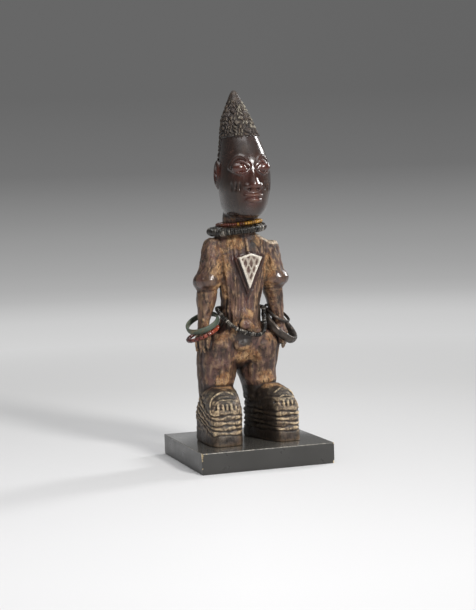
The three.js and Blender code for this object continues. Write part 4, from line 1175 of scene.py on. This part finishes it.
def string_tree(name, finish, thread_finish, seed):
    """Geometry nodes for one string: its thread and its beads, joined."""
    tree = bpy.data.node_groups.new(name, "GeometryNodeTree")
    kinds = {"Geometry": "NodeSocketGeometry", "Beads": "NodeSocketInt"}
    for key in ("Geometry", "Beads", *BEAD_SIZES):
        tree.interface.new_socket(key, in_out="INPUT", socket_type=kinds.get(key, "NodeSocketFloat"))
    tree.interface.new_socket("Geometry", in_out="OUTPUT", socket_type="NodeSocketGeometry")
    n = Threading(tree)
    given = {socket.name: Value(n, socket) for socket in n.make("NodeGroupInput").outputs}
    width, length, hole, rounding, thickness, askew, uneven = [given[key] for key in BEAD_SIZES]
    loop = n.geo("MeshToCurve", Mesh=given["Geometry"])
    core = n.circle(THREAD_CORNERS, thickness * 0.5)
    thread = n.geo("CurveToMesh", Curve=loop, Profile_Curve=core)
    bead = n.bead(width, length, hole, rounding)
    beads = n.threaded(loop, given["Beads"], bead, askew, uneven, seed)
    join = n.make("GeometryNodeJoinGeometry")
    for part, look in ((thread, thread_finish), (beads, finish)):
        part = n.geo("SetMaterial", Geometry=part, Material=look)
        tree.links.new(part.socket, join.inputs[0])
    whole = n.geo("SetShadeSmooth", Geometry=Value(n, join.outputs[0]))
    tree.links.new(whole.socket, n.make("NodeGroupOutput").inputs[0])
    return tree


def bead_string(name, node, slot, order, seed, pitch, bead, askew, uneven, steps=180):
    """A string of beads along the loop of a piece of the frame."""
    places, _ = loop_of(node, order, steps)
    edges = [(i, (i + 1) % len(places)) for i in range(len(places))]
    made = new_object(name, mesh_from(name, places, [], edges))
    around = np.linalg.norm(places - np.roll(places, 1, 0), axis=1).sum()
    sizes = dict(zip(BEAD_SIZES, [*(size * MM for size in bead), askew, uneven]))
    sizes["Beads"] = round(around / (pitch * MM))
    tree = string_tree(name, FINISHES[slot], FINISHES["dark_thread"], seed)
    threading = made.modifiers.new("Threading", "NODES")
    threading.node_group = tree
    for socket in tree.interface.items_tree:
        if socket.in_out == "INPUT" and socket.name in sizes:
            threading[socket.identifier] = sizes[socket.name]
    plain_mesh(made, name)
    face_outwards(made.data)
    finish_piece(made, node)


def hoop(name, node, slot, thick, wide, square, dents, seed, around=120, sides=20):
    """A hoop along the loop of a piece of the frame, worn uneven."""
    places, up = loop_of(node, 2, around)
    ahead = np.roll(places, -1, 0) - np.roll(places, 1, 0)
    ahead /= np.linalg.norm(ahead, axis=1)[:, None]
    out = np.cross(ahead, up)
    out /= np.linalg.norm(out, axis=1)[:, None]
    t = np.linspace(0, TURN, sides, endpoint=False)
    across, along = [half * MM * np.sign(wave) * np.abs(wave) ** (2 / square)
                     for half, wave in ((thick, np.cos(t)), (wide, np.sin(t)))]
    rng = np.random.default_rng(seed)
    turn = np.arange(around) / around * 2 * math.pi
    dent = 1 + sum(dents / k * np.sin(k * turn + rng.uniform(0, 6)) for k in (3, 5, 8, 13))
    rings = places[:, None] + (across[None, :] * dent[:, None])[..., None] * out[:, None]
    rings = rings + along[None, :, None] * up[None, None, :]
    faces = ring_faces(around, sides, closed=True)
    made = new_object(name, mesh_from(name, rings.reshape(-1, 3), faces))
    made.data.materials.append(FINISHES[slot])
    smoothed(made.data)
    face_outwards(made.data)
    finish_piece(made, node)


def finish_piece(made, node):
    """A finished piece stands for its solid and rides on the one body."""
    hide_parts(node)
    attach(made, "root")


# The pieces


def make_figure():
    block = carve_figure()
    made = skinned(block, "figure_carving")
    mesh = made.data
    paint_figure(mesh, block)
    mesh.transform(Matrix.Translation((0, 0, SOLE)) @ Matrix.Scale(SHARE, 4))
    mesh.update()
    smoothed(mesh)
    mesh.materials.clear()
    mesh.materials.append(figure_wood())
    finish_piece(made, "figure")


# Chips in the plinth: across and back in half widths, level in heights, and size in millimetres
CHIPS = [
    [-1.0, -1.0, 0.93, 1.5], [-1.0, -1.0, 0.8, 1.0], [-1.0, -1.0, 0.68, 0.8], [1.0, -1.0, 0.08, 1.5],
    [-1.0, -1.0, 0.3, 0.7], [-0.93, -1.0, 1.0, 0.6], [-1.0, -0.96, 1.0, 0.7], [1.0, -1.0, 0.97, 0.8],
    [1.0, 1.0, 0.96, 0.9], [-1.0, 1.0, 0.05, 0.9],
]


def mesh_of(work, name):
    mesh = bpy.data.meshes.new(name)
    work.to_mesh(mesh)
    work.free()
    return mesh


def chip_rocks(low, high):
    """Small rough stones where the plinth is chipped, as one cutter."""
    cutter = bmesh.new()
    rng = np.random.default_rng(21)
    middle = (low + high) / 2
    half = (high - low) / 2
    for across, back, level, size in CHIPS:
        at = Vector((middle.x + across * half.x, middle.y + back * half.y, low.z + level * (high.z - low.z)))
        made = bmesh.ops.create_icosphere(cutter, subdivisions=2, radius=size * MM)
        for corner in made["verts"]:
            corner.co = at + corner.co * float(rng.uniform(0.75, 1.15))
    return mesh_of(cutter, "chips")


def make_plinth():
    low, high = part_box("plinth")
    block = bmesh.new()
    bmesh.ops.create_cube(block, size=1)
    size = high - low
    for corner in block.verts:
        corner.co = Vector(((corner.co[k] + 0.5) * size[k] + low[k] for k in range(3)))
    mesh = mesh_of(block, "plinth_block")
    made = new_object("plinth_block", mesh)
    rocks = chip_rocks(low, high)
    for finish in (plinth_paint(), bare_wood()):
        mesh.materials.append(finish)
        rocks.materials.append(finish)
    rocks.polygons.foreach_set("material_index", [1] * len(rocks.polygons))
    cutter = new_object("chips", rocks)
    eased = made.modifiers.new("Eased edges", "BEVEL")
    eased.width = 0.5 * MM
    eased.segments = 3
    chipped = made.modifiers.new("Chips", "BOOLEAN")
    chipped.operation = "DIFFERENCE"
    chipped.solver = "EXACT"
    chipped.use_self = True
    chipped.object = cutter
    plain_mesh(made, "plinth_block")
    bpy.data.objects.remove(cutter)
    smoothed(made.data)
    made.data.set_sharp_from_angle(angle=math.radians(25))
    finish_piece(made, "plinth")


def make_worn():
    """The strings and the hoops that the figure wears."""
    bead_finish("dark_thread", (24, 18, 14), (52, 40, 30), (60, 48, 38), 0.8)
    bead_finish("shell_discs", (12, 10, 9), (60, 54, 48), (178, 170, 158), 0.2)
    glass("seed_beads", (-0.012, 0.012), 0.7, (0.3, 0.7), (92, 42, 26), (176, 128, 42),
          (300, 0.45, 0.7, 0, 0.7), (40, 28, 18), Roughness=0.35, Specular_IOR_Level=0.5)
    # The red beads darken towards the figure's right, away from the light: painted shade
    glass("red_glass", (-0.044, -0.016), 0.5, (0.1, 0.8), (72, 30, 28), (158, 70, 44),
          (350, 0.5, 0.72, 0, 0.6), (44, 22, 18), Roughness=0.28, Specular_IOR_Level=0.55,
          Coat_Weight=0.3)
    bronze("green_bronze", (120, 112, 92), (84, 94, 82), 0.42, 0.75)
    bronze("dark_bronze", (84, 76, 70), (40, 34, 30), 0.3, 0.45)
    for name, row in STRINGS.items():
        bead_string(name, *row)
    for name, row in HOOPS.items():
        hoop(name, *row)


# The stage, the lights and the camera

CAMERA = {"place": (-0.3146, -0.9378, 0.1782), "azimuth": -18.37, "elevation": 3.66, "roll": -1.90,
          "lens": 78.8, "sensor": 36}
# Each light: place, width and height, power and colour
LIGHTS = {
    "key": [(0.46, -1.4, 0.84), (0.24, 0.4), 22, (1, 0.99, 0.97)],
    "side": [(1.35, 0.52, 0.8), (0.25, 0.5), 11, (1, 1, 1)],
    "top": [(-0.1, -0.3, 1.9), (1.3, 1.3), 14, (1, 1, 1)],
}
AIM = (0, 0, 0.14)
# Painted light: the grey of the glowing studio paper by distance from the middle of the floor, along the
# floor and then up the wall
GREYS = [[0.9, 0.66], [1.5, 0.60], [2.2, 0.47], [2.9, 0.31], [3.4, 0.17], [3.9, 0.136], [6.0, 0.133]]


def backdrop():
    """A pale floor that sweeps up all round far from the figure; its paper glows grey above as painted light
    and is near white below.
    """
    floor, bend, top, around = 2.2, 1.3, 3.4, 96
    line = [(r, 0.0) for r in (0.3, 0.6, 0.9, 1.2, 1.6, floor)]
    for t in np.linspace(0.1, 1, 12):
        line.append((floor + bend * math.sin(t * math.pi / 2), bend * (1 - math.cos(t * math.pi / 2))))
    line.append((floor + bend, top))
    places = [(0.0, 0.0, 0.0)]
    for reach, level in line:
        for turn in np.arange(around) / around * 2 * math.pi:
            places.append((reach * math.cos(turn), reach * math.sin(turn), level))
    faces = [(0, 1 + i, 1 + (i + 1) % around) for i in range(around)]
    made = new_object("backdrop", mesh_from("backdrop", places, faces + ring_faces(len(line), around, 1)))
    smoothed(made.data)
    made.data.materials.append(studio_paper())


def studio_paper():
    """Matt paper near the figure, with painted shade to the right and further back, and beyond it paper that
    glows as painted light: a grey that darkens with distance all round it.
    """
    f = Finish("studio_paper", Roughness=0.9, Specular_IOR_Level=0.1)
    x, y, z = f.parts()
    turn = math.radians(CAMERA["azimuth"])
    depth = x * -math.sin(turn) + y * math.cos(turn)
    side = x * math.cos(turn) + y * math.sin(turn)
    shade = f.mix(side.span(0.0, 0.4), (1, 1, 1, 1), (0.7, 0.7, 0.7, 1))
    far_shade = f.mix(side.span(0.0, 0.6), (1, 1, 1, 1), (0.95, 0.95, 0.95, 1))
    # Painted shade: the near paper darker further back
    near = f.mix(depth.span(-0.25, 0.45), (0.74, 0.74, 0.75, 1), (0.62, 0.62, 0.62, 1))
    f.set(Base_Color=f.mix(1.0, near, shade, blend_type="MULTIPLY"))
    far = f.value("ShaderNodeVectorMath", {0: f.place}, name="Value", operation="LENGTH") + z
    ramp = f.make("ShaderNodeValToRGB", {"Fac": far / GREYS[-1][0]})
    while len(ramp.color_ramp.elements) < len(GREYS):
        ramp.color_ramp.elements.new(0.5)
    for stop, (away, grey) in zip(ramp.color_ramp.elements, GREYS):
        stop.position = away / GREYS[-1][0]
        stop.color = (grey, grey, grey, 1)
    # The far paper glows: painted light
    wall = f.mix(1.0, Value(f, ramp.outputs["Color"]), far_shade, blend_type="MULTIPLY")
    glow = f.value("ShaderNodeEmission", {"Color": wall})
    paper = Value(f, f.shader.outputs[0])
    both = f.value("ShaderNodeMixShader", {0: far.span(0.35, 1.0), 1: paper, 2: glow})
    f.put(f.end, "Surface", both)
    return f.material


def make_lights():
    world = bpy.data.worlds.new("studio")
    bpy.context.scene.world = world
    world.use_nodes = True
    sky = world.node_tree.nodes["Background"].inputs
    sky["Color"].default_value = (1, 1, 1, 1)
    sky["Strength"].default_value = 0.5
    for name, (place, size, power, colour) in LIGHTS.items():
        light = bpy.data.lights.new(name, "AREA")
        light.shape = "RECTANGLE"
        light.size, light.size_y = size
        light.energy = power
        light.color = colour
        made = new_object(name, light)
        made.location = place
        made.rotation_mode = "QUATERNION"
        made.rotation_quaternion = (Vector(AIM) - Vector(place)).to_track_quat("-Z", "Y")


def make_camera():
    turn, tilt, roll = [math.radians(CAMERA[k]) for k in ("azimuth", "elevation", "roll")]
    back = Vector((math.sin(turn) * math.cos(tilt), -math.cos(turn) * math.cos(tilt), math.sin(tilt)))
    right = Vector((0, 0, 1)).cross(back).normalized()
    up = back.cross(right)
    right, up = (right * math.cos(roll) + up * math.sin(roll), up * math.cos(roll) - right * math.sin(roll))
    data = bpy.data.cameras.new("camera")
    data.lens = CAMERA["lens"]
    data.sensor_width = CAMERA["sensor"]
    data.clip_start = 0.01
    made = new_object("camera", data)
    made.matrix_world = Matrix.Translation(CAMERA["place"]) @ Matrix((right, up, back)).transposed().to_4x4()
    bpy.context.scene.camera = made


bpy.context.scene.view_settings.view_transform = "Standard"
make_camera()
make_lights()
backdrop()
make_plinth()
make_figure()
make_worn()
